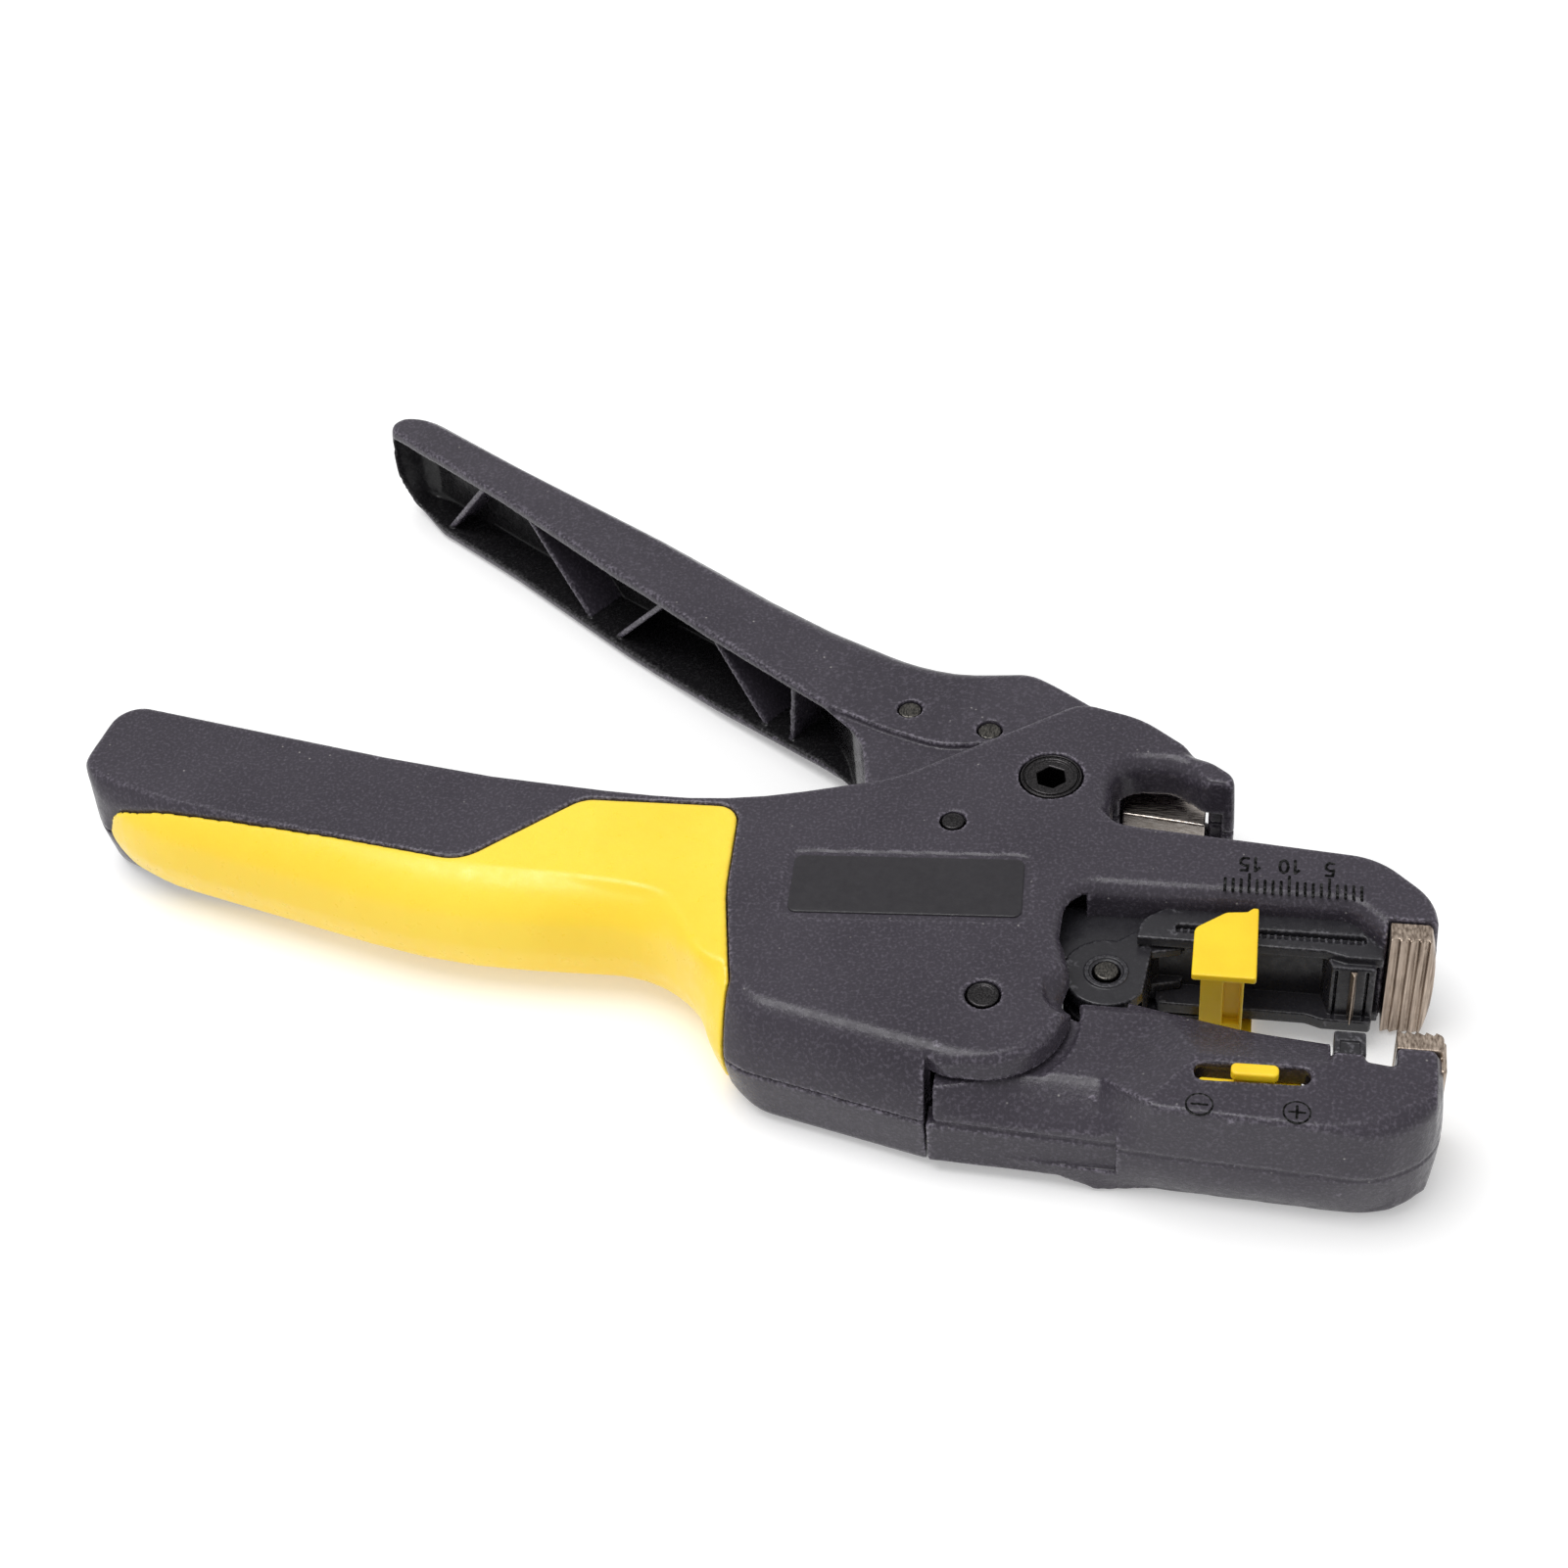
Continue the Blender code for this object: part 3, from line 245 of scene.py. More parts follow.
def mesh_field(name, grid, field, skin, keep=1.0):
    """Surface net of the field's zero level, as an object in the frame's metres."""
    inside = field < 0
    offsets = [(a, b, c) for a in (0, 1) for b in (0, 1) for c in (0, 1)]
    sizes = [n - 1 for n in field.shape]
    total = np.zeros(sizes, np.int8)
    for a, b, c in offsets:
        total += inside[a:a + sizes[0], b:b + sizes[1], c:c + sizes[2]]
    active = (total > 0) & (total < 8)
    i, j, k = np.nonzero(active)
    number = np.full(sizes, -1, np.int32)
    number[active] = np.arange(len(i))
    spot = np.zeros((len(i), 3))
    hits = np.zeros(len(i))
    for start in offsets:
        for way in range(3):
            if start[way]:
                continue
            a = field[i + start[0], j + start[1], k + start[2]].astype(float)
            end = [start[n] + (n == way) for n in range(3)]
            b = field[i + end[0], j + end[1], k + end[2]].astype(float)
            crosses = (a < 0) != (b < 0)
            share = np.where(crosses, a / np.where(crosses, a - b, 1), 0)
            for n in range(3):
                along = start[n] + (share if n == way else 0)
                spot[:, n] += np.where(crosses, along, 0)
            hits += crosses
    verts = grid.low + grid.cell * (np.stack((i, j, k), 1) + spot / hits[:, None])
    quads = []
    for way in range(3):
        a = np.take(inside, range(inside.shape[way] - 1), way)
        b = np.take(inside, range(1, inside.shape[way]), way)
        e = np.array(np.nonzero(a != b))
        other, last = (way + 1) % 3, (way + 2) % 3
        fine = (e[other] > 0) & (e[last] > 0) & (e[other] < sizes[other]) & (e[last] < sizes[last])
        e = e[:, fine]
        ring = []
        for d_other, d_last in ((1, 1), (0, 1), (0, 0), (1, 0)):
            cell = e.copy()
            cell[other] -= d_other
            cell[last] -= d_last
            ring.append(number[tuple(cell)])
        quad = np.stack(ring, 1)
        flip = ~a[tuple(e)]
        quad[flip] = quad[flip][:, ::-1]
        quads.append(quad)
    quads = np.concatenate(quads)
    data = bpy.data.meshes.new(name)
    data.from_pydata(((verts + np.array(ORIGIN)) * MM).astype(np.float32), [], quads)
    data.validate()
    piece = bpy.data.objects.new(name, data)
    bpy.context.scene.collection.objects.link(piece)
    data.materials.append(skin)
    if keep < 1.0:
        thin = piece.modifiers.new("thin", "DECIMATE")
        thin.ratio = keep
        apply_modifiers(piece)
    piece.data.shade_smooth()
    return piece


def paint(piece, grid, zone, skin):
    """Gives a second material to the faces where the zone is negative."""
    piece.data.materials.append(skin)
    centres = np.empty(3 * len(piece.data.polygons))
    piece.data.polygons.foreach_get("center", centres)
    spots = (centres.reshape(-1, 3) / MM - np.array(ORIGIN) - grid.low) / grid.cell
    i, j, k = [np.clip(np.round(spots[:, n]).astype(int), 0, zone.shape[n] - 1) for n in range(3)]
    piece.data.polygons.foreach_set("material_index", (zone[i, j, k] < 0).astype(np.int32))


def apply_modifiers(piece):
    graph = bpy.context.evaluated_depsgraph_get()
    graph.update()
    made = bpy.data.meshes.new_from_object(piece.evaluated_get(graph))
    piece.modifiers.clear()
    piece.data = made


def flip(piece):
    """Mirrors a piece in the middle plane."""
    middle = Matrix.Translation((0, 0, HALF * MM))
    piece.data.transform(middle @ Matrix.Scale(-1, 4, (0, 0, 1)) @ middle.inverted())
    piece.data.flip_normals()


def own(piece, body, node):
    """A piece rides on a body and stands for the CAD node of that place."""
    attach(piece, body)
    if node:
        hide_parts(node)
    return piece


# ---------------------------------------------------------------- materials

class Skin:
    """One procedural material around a Principled shader; textures use the piece's own coordinates."""

    def __init__(self, name, roughness, metallic=0.0, **sockets):
        self.made = bpy.data.materials.new(name)
        self.made.use_nodes = True
        self.nodes, self.links = self.made.node_tree.nodes, self.made.node_tree.links
        self.shader = self.nodes["Principled BSDF"]
        self.shader.inputs["Roughness"].default_value = roughness
        self.shader.inputs["Metallic"].default_value = metallic
        for socket, value in sockets.items():
            self.shader.inputs[socket.replace("_", " ")].default_value = value
        self.place = self.nodes.new("ShaderNodeTexCoord").outputs["Object"]

    def noise(self, per_mm, detail=2.0, stretch=(1, 1, 1)):
        moved = self.nodes.new("ShaderNodeMapping")
        moved.inputs["Scale"].default_value = [s * per_mm / MM for s in stretch]
        self.links.new(self.place, moved.inputs["Vector"])
        made = self.nodes.new("ShaderNodeTexNoise")
        made.inputs["Scale"].default_value = 1.0
        made.inputs["Detail"].default_value = detail
        self.links.new(moved.outputs["Vector"], made.inputs["Vector"])
        return made.outputs["Fac"]

    def specks(self, per_mm, size):
        """1 at scattered points, 0 further away than size."""
        made = self.nodes.new("ShaderNodeTexVoronoi")
        made.inputs["Scale"].default_value = per_mm / MM
        self.links.new(self.place, made.inputs["Vector"])
        return self.band(made.outputs["Distance"], size, 0.0)

    def convex(self):
        """1 on sharp outer edges."""
        return self.band(self.nodes.new("ShaderNodeNewGeometry").outputs["Pointiness"], 0.504, 0.54)

    def band(self, value, low, high):
        made = self.nodes.new("ShaderNodeMapRange")
        made.inputs["From Min"].default_value = low
        made.inputs["From Max"].default_value = high
        self.links.new(value, made.inputs["Value"])
        return made.outputs["Result"]

    def times(self, a, b):
        made = self.nodes.new("ShaderNodeMath")
        made.operation = "MULTIPLY"
        for socket, value in zip(made.inputs, (a, b)):
            if isinstance(value, float):
                socket.default_value = value
            else:
                self.links.new(value, socket)
        return made.outputs[0]

    def mix(self, factor, a, b):
        made = self.nodes.new("ShaderNodeMix")
        made.data_type = "RGBA"
        self.links.new(factor, made.inputs["Factor"])
        for socket, value in ((made.inputs["A"], a), (made.inputs["B"], b)):
            if isinstance(value, tuple):
                socket.default_value = (*value, 1.0)
            else:
                self.links.new(value, socket)
        return made.outputs["Result"]

    def colour(self, value):
        self.links.new(value, self.shader.inputs["Base Color"])

    def roughen(self, value):
        self.links.new(value, self.shader.inputs["Roughness"])

    def relief(self, height, depth_mm):
        made = self.nodes.new("ShaderNodeBump")
        made.inputs["Strength"].default_value = 1.0
        made.inputs["Distance"].default_value = depth_mm * MM
        self.links.new(height, made.inputs["Height"])
        self.links.new(made.outputs["Normal"], self.shader.inputs["Normal"])


def rgb(red, green, blue):
    """Linear colour from display values."""
    shares = [value / 255 for value in (red, green, blue)]
    return tuple(v / 12.92 if v <= 0.04 else ((v + 0.055) / 1.055) ** 2.4 for v in shares)


def moulded(name, dark, light, roughness, relief, dust=True, shine=0.45, speckle=0.45, edges=0.65):
    """Spark-eroded plastic: fine grain, faint mottling, lighter grain on convex edges that is partly wear and
    partly a painted highlight along the creases, dust.
    """
    skin = Skin(name, roughness, Specular_IOR_Level=shine)
    grain = skin.noise(2.3, 4.0)
    tone = skin.mix(skin.band(skin.noise(0.05, 3.0), 0.35, 0.65), dark, light)
    pale = tuple(min(1.0, 2.6 * c + 0.02) for c in light)
    tone = skin.mix(skin.times(skin.band(grain, 0.50, 0.72), speckle), tone, pale)
    # Convex edges get lighter grain: partly wear, partly a painted highlight standing for the creases
    # catching the light.
    wear_and_highlight_tone = tuple(min(1.0, 4.0 * c + 0.05) for c in light)
    if edges:
        edge_wear_and_highlight = skin.times(skin.convex(), skin.band(grain, 0.42, 0.66))
        tone = skin.mix(skin.times(edge_wear_and_highlight, edges), tone, wear_and_highlight_tone)
    if dust:
        fleck = skin.times(skin.specks(0.45, 0.085), skin.band(skin.noise(0.11, 1.0), 0.48, 0.58))
        tone = skin.mix(skin.times(fleck, 0.85), tone, (0.46, 0.44, 0.42))
    skin.colour(tone)
    skin.roughen(skin.band(skin.noise(0.9, 2.0), -0.6 + roughness, 1.4 + roughness))
    skin.relief(grain, relief)
    return skin.made


def rubbery(name, deep, bright, roughness):
    """Soft yellow overmould: very fine grain, faint clouding and a few handling marks."""
    skin = Skin(name, roughness, Subsurface_Weight=0.12, Subsurface_Scale=0.0015, Sheen_Weight=0.06)
    grain = skin.noise(5.0, 2.0)
    tone = skin.mix(skin.band(skin.noise(0.04, 3.0), 0.36, 0.64), deep, bright)
    smudge = skin.times(skin.band(skin.noise(0.35, 4.0), 0.62, 0.74), 0.04)
    tone = skin.mix(smudge, tone, (0.62, 0.40, 0.06))
    skin.colour(tone)
    skin.roughen(skin.band(skin.noise(0.6, 3.0), -0.7 + roughness, 1.3 + roughness))
    skin.relief(grain, 0.014)
    return skin.made


def glossy(name, deep, bright, roughness):
    """Smooth yellow moulding."""
    skin = Skin(name, roughness, Subsurface_Weight=0.15, Subsurface_Scale=0.0010, Coat_Weight=0.15)
    skin.colour(skin.mix(skin.band(skin.noise(0.12, 2.0), 0.35, 0.65), deep, bright))
    skin.roughen(skin.band(skin.noise(1.6, 3.0), -0.8 + roughness, 1.2 + roughness))
    skin.relief(skin.noise(1.2, 2.0), 0.010)
    return skin.made


def machined(name, dark, light, roughness, stretch, relief=0.010):
    """Ground steel with tool lines along one direction and a little staining."""
    skin = Skin(name, roughness, 1.0)
    lines = skin.noise(5.0, 3.0, stretch)
    tone = skin.mix(skin.band(lines, 0.34, 0.66), dark, light)
    stain = skin.times(skin.band(skin.noise(0.5, 4.0), 0.55, 0.75), 0.45)
    skin.colour(skin.mix(stain, tone, dark))
    skin.roughen(skin.band(lines, -0.5 + roughness, 1.5 + roughness))
    skin.relief(lines, relief)
    return skin.made


CHARCOAL = moulded("charcoal_plastic", rgb(52, 48, 56), rgb(59, 55, 63), 0.56, 0.045, shine=0.28)
LEVER_PLASTIC = moulded("lever_plastic", rgb(52, 48, 56), rgb(59, 55, 63), 0.54, 0.035, shine=0.28)
# Darker copy of the lever's plastic for the inside of its channel: painted shade in that deep hollow.
CHANNEL_PAINTED_SHADE = moulded("channel_painted_shade", rgb(24, 23, 25), rgb(30, 29, 31), 0.6, 0.02, dust=False,
                          shine=0.3)
# Darker copy of the charcoal for pieces set deep in recesses: partly their own darker plastic, partly painted
# shade.
INNER_DARK_AND_SHADED = moulded("inner_plastic", rgb(35, 34, 38), rgb(43, 42, 46), 0.50, 0.012, dust=False, shine=0.35,
                speckle=0.12)
LABEL = moulded("label_film", rgb(36, 34, 38), rgb(40, 38, 42), 0.40, 0.004, dust=False, shine=0.35,
                speckle=0.05, edges=0)
# Near-black, matte fill in place of the engraved grooves of ticks, digits and signs: painted shade of the
# grooves.
GROOVE_SHADE_FILL = moulded("engraved_groove_shade", rgb(2, 2, 2), rgb(5, 5, 5), 0.95, 0.01, dust=False, shine=0.05)
RUBBER = rubbery("yellow_rubber", rgb(248, 210, 48), rgb(254, 219, 62), 0.50)
GLOSSY = glossy("yellow_plastic", rgb(242, 200, 12), rgb(248, 210, 24), 0.30)
NICKEL = machined("nickel_steel", rgb(128, 113, 101), rgb(196, 180, 165), 0.30, (0.7, 0.25, 0.03))
ANVIL_STEEL = machined("anvil_steel", rgb(170, 160, 150), rgb(232, 224, 216), 0.42, (0.10, 1, 1))
BLACK_OXIDE = machined("black_oxide", rgb(40, 39, 40), rgb(70, 68, 69), 0.36, (1, 1, 1), 0.006)
PIN_STEEL = machined("pin_steel", rgb(52, 51, 50), rgb(104, 101, 96), 0.42, (1, 0.4, 1), 0.02)
SPRING_STEEL = machined("spring_steel", rgb(70, 68, 66), rgb(150, 146, 140), 0.30, (1, 1, 0.2))


# ---------------------------------------------------------------- body and grip

GRIP_SEAT, GRIP_DEPTH = 2.2, 2.05   # the shells' step under the grip, and the grip's own thickness
LABEL_RECESS = 0.28


def body_form(grid, flipped=False):
    """Outer form of shells and grip: flat faces, drafted sides, and its own rounding on each stretch."""
    window = grid.plan(WINDOW)
    plan = np.maximum(grid.plan(BODY), -window)
    middle = np.interp(grid.x, (-178, -168, -118, -104, -90), (9, 6, -2, -3, -5)).astype(np.float32)
    near = (grid.z < 0) == flipped
    below = ramp(middle - grid.y, -2, 3) * (1 - 0.5 * ramp(-grid.x, 168, 178))
    palm = np.where(near, ramp(-grid.x, 80, 92), ramp(-grid.x, 72, 84)) * below
    upper = ramp(-grid.x, 84, 96) * ramp(grid.y - middle, -2, 3)
    belly = ramp(grid.x, -87, -77) * ramp(-grid.y, 14, 20)
    notch = ramp(grid.x, -38, -35) * ramp(-grid.x, 19, 23)
    notch = notch * ramp(grid.y, 11.5, 14.5) * ramp(-grid.y, -27, -25)
    recess = ramp(-window, -4.5, -3.5) * ramp(-grid.y, -4, -2)
    radius = 0.9 + 4.4 * palm + 0.4 * upper + 1.2 * belly + 1.9 * notch + 1.6 * recess
    draft = 0.30 + 2.4 * palm - 0.2 * upper + np.where(near, 3.9, 0.4) * belly
    side = plan + draft * (grid.up / HALF) ** 1.5
    lobe = 1.1 * ramp(grid.x, -50, -46) * (grid.up / HALF) ** 2 - grid.plan(POCKET)
    return both(both(side, grid.up - HALF, radius), np.maximum(lobe, both(lobe, grid.up - HALF, 1.4)), 0.3)


def make_shell(name, node, flipped):
    """One half shell, worked out as the upper one; the flipped one is mirrored into place."""
    grid = Grid((-181.2, -36.6, -0.6), (11.4, 36.0, 9.9), CELL)
    body = body_form(grid, flipped)
    grip = grid.plan(GRIP)
    shell = np.minimum(both(body, 0.18 - grip, 0.35), body + GRIP_SEAT)
    del body, grip
    shell = both(shell, 0.07 - grid.z, 0.25)
    inner = HALF - WALL
    for outline, top, radius in ((CAVITY, inner, 0.3), (MOUTH, inner, 0.3), (JAW_ROOM, 5.4, 0.3),
                                 (box_outline(-34.5, -18.0, 4.0, 20.8), 3.4, 0.2),
                                 (box_outline(-37.5, 2.5, -2.0, 3.8), 3.4, 0.2),
                                 (box_outline(-31.8, -19.8, 17.0, 26.5), 3.1, 0.2),
                                 (box_outline(3.3, 12.0, -9.0, -3.2), HALF + 1, 0.15)):
        shell = without(shell, both(grid.plan(outline), grid.z - top), radius)
    for centre, radius in ((LEVER_AXIS, 4.4), (ROCKER_AXIS, 1.8), (JAW_AXIS, 2.3)):
        shell = without(shell, grid.disc(centre, radius), 0.15)
    if not flipped:
        label = grid.plan(tilted_box(LABEL_CENTRE, 16.0, 6.0, LABEL_TILT, 1.6))
        shell = without(shell, both(label, HALF - LABEL_RECESS - grid.z), 0.1)
    piece = mesh_field(name, grid, shell, CHARCOAL, 0.5)
    if flipped:
        flip(piece)
    own(piece, "body", node)


def make_grip():
    grid = Grid((-181.2, -36.6, -9.9), (-75.6, 11.4, 9.9), 0.34)
    body = body_form(grid)
    grip = np.maximum(both(body, grid.plan(GRIP), 0.45), -(body + GRIP_DEPTH))
    piece = mesh_field("grip_skin", grid, grip, RUBBER, 0.5)
    own(piece, "body", "soft_grip")


def make_label():
    grid = Grid((-75, -12, 8.2), (-40, 6, 9.6), 0.12)
    plate = grid.plan(tilted_box(LABEL_CENTRE, 15.1, 5.1, LABEL_TILT, 1.1))
    plate = both(plate, grid.slab(8.4, HALF - 0.06), 0.1)
    own(mesh_field("label_film_plate", grid, plate, LABEL, 0.3), "body", "label_plate")


# ---------------------------------------------------------------- lever

RIBS = (((-131.7, 72.9), (-120.5, 64.0)), ((-103.5, 51.4), (-115.0, 60.0)), ((-96.2, 46.2), (-86.6, 40.0)),
        ((-81.4, 36.0), (-82.6, 38.0)), ((-139.4, 78.4), (-149.0, 88.0)))


def rib_distance(grid, near, far):
    """Distance from the slanted plane of one rib."""
    start, end = Vector((*near, LEVER_HALF - 1.5)), Vector((*far, 1.5 - LEVER_HALF))
    normal = Vector((0.55, 0.84, 0)).cross(end - start).normalized()
    reach = (grid.x - start.x) * normal.x + (grid.y - start.y) * normal.y + (grid.z - start.z) * normal.z
    return np.abs(reach)


def make_lever():
    """Channel with slanted ribs, open towards the handle; its head has thin cheeks and the spring's room."""
    grid = Grid((-163.0, 4.8, -9.4), (-20.4, 101.6, 9.4), 0.33)
    width = np.interp(-grid.x, (70, 76, 106, 150, 160), (0.80, 0.80, 1.0, 1.0, 0.96)).astype(np.float32)
    up = grid.up / width
    outline = grid.plan(LEVER)
    back = ramp((grid.x + 75) * 0.539 + (grid.y - 44) * 0.842, 0, 3) * ramp(-grid.x, 40, 58)
    tip = ramp(-grid.x, 149, 158)
    lean = (0.8 * back + np.where(grid.z > 0, 0.8, 2.8) * tip) * (up / LEVER_HALF) ** 2
    side = outline + 0.25 * up / LEVER_HALF + lean
    lever = both(side, up - LEVER_HALF, 0.6 + 2.0 * back)
    hollow = both(grid.plan(CHANNEL) + lean, up - LEVER_HALF + WALL, 0.3 + 1.5 * tip)
    # Faces lining the channel, which take the painted shade.
    channel_shade_zone = np.abs(hollow) - 0.3
    for near, far in RIBS:
        hollow = np.maximum(hollow, -np.maximum(rib_distance(grid, near, far) - 0.45, outline + 1.4))
    lever = without(lever, hollow, 0.35)
    del hollow, up, side, lean
    lever = without(lever, both(grid.plan(THIN_CHEEK), 6.3 - grid.up), 0.4)
    lever = without(lever, both(grid.plan(SPRING_ROOM), grid.up - 3.2))
    arm = grid.plan(box_outline(-46.5, -18.0, 2.0, 19.0))
    lever = without(lever, both(arm, 3.0 - grid.up))
    hub = both(grid.disc(LEVER_AXIS, 6.5), grid.cheeks(2.9, 6.2))
    lever = np.minimum(lever, hub)
    step = grid.plan([(-34.8, 22.0), (-34.8, 11.9), (-20.0, 7.4), (-18.0, 22.0)])
    lever = without(lever, both(step, grid.slab(-0.1, 4.0)))
    lever = without(lever, grid.disc(LEVER_AXIS, 4.4))
    for centre in LEVER_PINS:
        lever = without(lever, grid.disc(centre, 1.8), 0.12)
    piece = mesh_field("lever_moulding", grid, lever, LEVER_PLASTIC, 0.5)
    # The channel's inner faces get the darker copy: painted shade.
    paint(piece, grid, channel_shade_zone, CHANNEL_PAINTED_SHADE)
    own(piece, "lever", "lever")


def make_cutter():
    grid = Grid((-33.8, 8.2, -0.2), (-21.6, 16.6, 3.0), 0.1)
    blade = both(grid.plan([(-33.2, 12.6), (-22.2, 8.8), (-22.2, 10.4), (-31.2, 16.0), (-33.2, 16.0)]),
                 grid.slab(0.2, 2.6), 0.08)
    edge = ((grid.x + 31.2) * 5.6 + (grid.y - 16.0) * 9.0) / 10.6
    blade = np.maximum(blade, (edge + 1.2 * (grid.z - 0.5)) / 1.56)
    own(mesh_field("cutter_edge", grid, blade, ANVIL_STEEL), "lever", "cutter_blade")
    grid = Grid((-32, 19.2, -3.4), (-19.6, 26.0, 3.4), 0.12)
    anvil = grid.plan([(-31.4, 21.2), (-20.2, 19.8), (-20.2, 24.3), (-27.0, 25.4), (-31.4, 25.4)])
    anvil = both(anvil, grid.slab(-2.8, 0.6), 0.2)
    own(mesh_field("anvil_block", grid, anvil, ANVIL_STEEL, 0.5), "body", "cutter_anvil")


# ---------------------------------------------------------------- lower jaw

def jaw_height(grid, near):
    """Half-thickness in plan of either side: rear cheek, ramp, plateau, facet to the gap, drafted belly."""
    x, y = grid.x, grid.y
    rise = (x + 30.3) * 0.81 - (y + 28.6) * 0.58
    top = LOW_CHEEK + (PLATEAU - LOW_CHEEK) * np.clip(rise / 8.5, 0, 1)
    if not near:
        top = np.minimum(top + 2.1 * ramp(-y, 30.6, 32.0) * ramp(-x, 24, 28), PLATEAU)
    facet = PLATEAU - 0.43 * (y + 27.4) + 0.9 * np.maximum(0, x + 3.7)
    slant = (2.0, 6.2, 6.8, 0.9, 1.0) if near else (0.9, 0.9, 1.0, 2.6, 3.0)
    crease = np.interp(x, (-50, -40, -30.3, -23.6, -18), slant).astype(np.float32)
    low = LOW_CHEEK if near else 7.4
    level = np.interp(x, (-50, -30.3, -23.6, -18), (low, low, 8.5, 8.8)).astype(np.float32)
    floor = np.interp(x, (-50.4, -43, -18, -2), (-34.3, -35.1, -37.7, -38.4)).astype(np.float32)
    share = np.clip((y - floor) / crease, 0.001, 4)
    belly = level * np.where(share < 1, share ** 0.75, 1 + 2.2 * (share - 1))
    return soft_min(soft_min(top, facet, 0.15), belly, 0.5)


def make_jaw():
    """Lower jaw: both sides' heights over its outline, then the root round its pin and all that it holds."""
    grid = Grid((-51.8, -39.0, -9.7), (11.2, -14.2, 9.7), 0.25)
    lids = []
    for near in (True, False):
        height = jaw_height(grid, near)
        slope = np.gradient(height[:, :, 0], grid.cell)
        steep = np.minimum(np.sqrt(1 + slope[0] ** 2 + slope[1] ** 2), 3)[:, :, None]
        lids.append((grid.up - height) / steep)
    lid = np.where(grid.z > 0, *lids)
    outline = grid.plan(JAW)
    front = np.maximum(ramp(grid.x, 8.2, 9.4), ramp(-grid.y, 30, 33) * ramp(grid.x, -6, 4))
    left = ramp(-grid.x, 24, 30)
    side = outline + (0.2 + 0.5 * front) * (grid.up / HALF) ** 1.5
    jaw = both(side, lid, 0.7 + 1.5 * front - 0.2 * left)
    jaw = without(jaw, both(grid.plan(box_outline(-60, -28, -45, -10)), grid.up - 4.5))
    root = both(grid.plan(JAW_ROOT), np.maximum(lid, grid.up - 4.9), 0.25)
    ledge = grid.plan([(-51.25, -24.0), (-51.25, -34.4), (-28.0, -35.2), (-28.0, -24.0)])
    ledge = np.maximum(ledge, 0.05 - grid.disc(JAW_AXIS, 11.8))
    ledge = both(ledge, grid.slab(-7.3, 0.0), 0.4)
    jaw = np.minimum.reduce([jaw, root, ledge])
    channel = grid.plan(rounded([(-30.0, -12.0, 0), (-30.0, -26.0, 2), (-22.0, -31.6, 4), (1.0, -33.2, 3),
                                 (1.0, -12.0, 0)]))
    jaw = without(jaw, both(channel, np.maximum(grid.up - 5.75, lid + 0.9)), 0.2)
    slot = grid.plan(rounded([(-19.3, -31.1, 1.2), (-5.7, -30.7, 1.2), (-5.7, -28.1, 1.2),
                              (-19.3, -28.5, 1.2)]))
    jaw = without(jaw, both(slot, 4.0 - grid.z), 0.22)
    slider_room = grid.plan(box_outline(-23.4, -2.6, -31.15, -28.3))
    jaw = without(jaw, both(slider_room, np.maximum(grid.slab(4.0, 7.9), lid + 0.6)))
    jaw = without(jaw, grid.plan(box_outline(4.1, 12.5, -23.9, -14)), 0.15)
    jaw = without(jaw, both(grid.plan(box_outline(-3.4, 1.0, -25.3, -14)), 5.5 - grid.up), 0.1)
    jaw = without(jaw, grid.disc(JAW_AXIS, 2.25))
    jaw = jaw + 0.22 * np.maximum(0, 1 - grid.up / 0.4)
    own(mesh_field("jaw_moulding", grid, jaw, CHARCOAL, 0.6), "lower_jaw", "lower_jaw")


def make_holder_cap():
    """Black block in the jaw's notch, beside the opening for the lower insert."""
    grid = Grid((-3.7, -26.6, -9.1), (1.3, -20.4, 9.1), 0.12)
    block = grid.plan(box_outline(-3.1, 0.7, -25.0, -21.4, 0.3))
    block = both(block, grid.cheeks(5.8, 8.4), 0.3)
    step = both(grid.plan(box_outline(-2.4, 0.0, -28.0, -22.9)), 8.1 - grid.up)
    block = without(block, step, 0.1)
    # Darker recess plastic: partly the block's own colour, partly painted shade of the notch.
    own(mesh_field("holder_cap", grid, block, INNER_DARK_AND_SHADED, 0.6), "lower_jaw", None)


def make_recess_floor():
    """Web of the far shell behind the hub, seen through the near shell's window."""
    grid = Grid((-37.0, -13.4, -9.0), (-16.4, 0.2, -5.6), 0.2)
    floor = grid.plan(rounded([(-36.5, -12.7, 1), (-33.0, -12.3, 0), (-33.0, -8.6, 0), (-17.2, -8.6, 0),
                               (-17.2, -0.4, 0), (-36.5, -0.4, 0)]))
    floor = both(floor, grid.slab(-7.9, -6.3), 0.3)
    # The far shell's own web gets the darker copy: painted shade of the hollow behind the window.
    own(mesh_field("recess_floor", grid, floor, INNER_DARK_AND_SHADED, 0.6), "body", None)


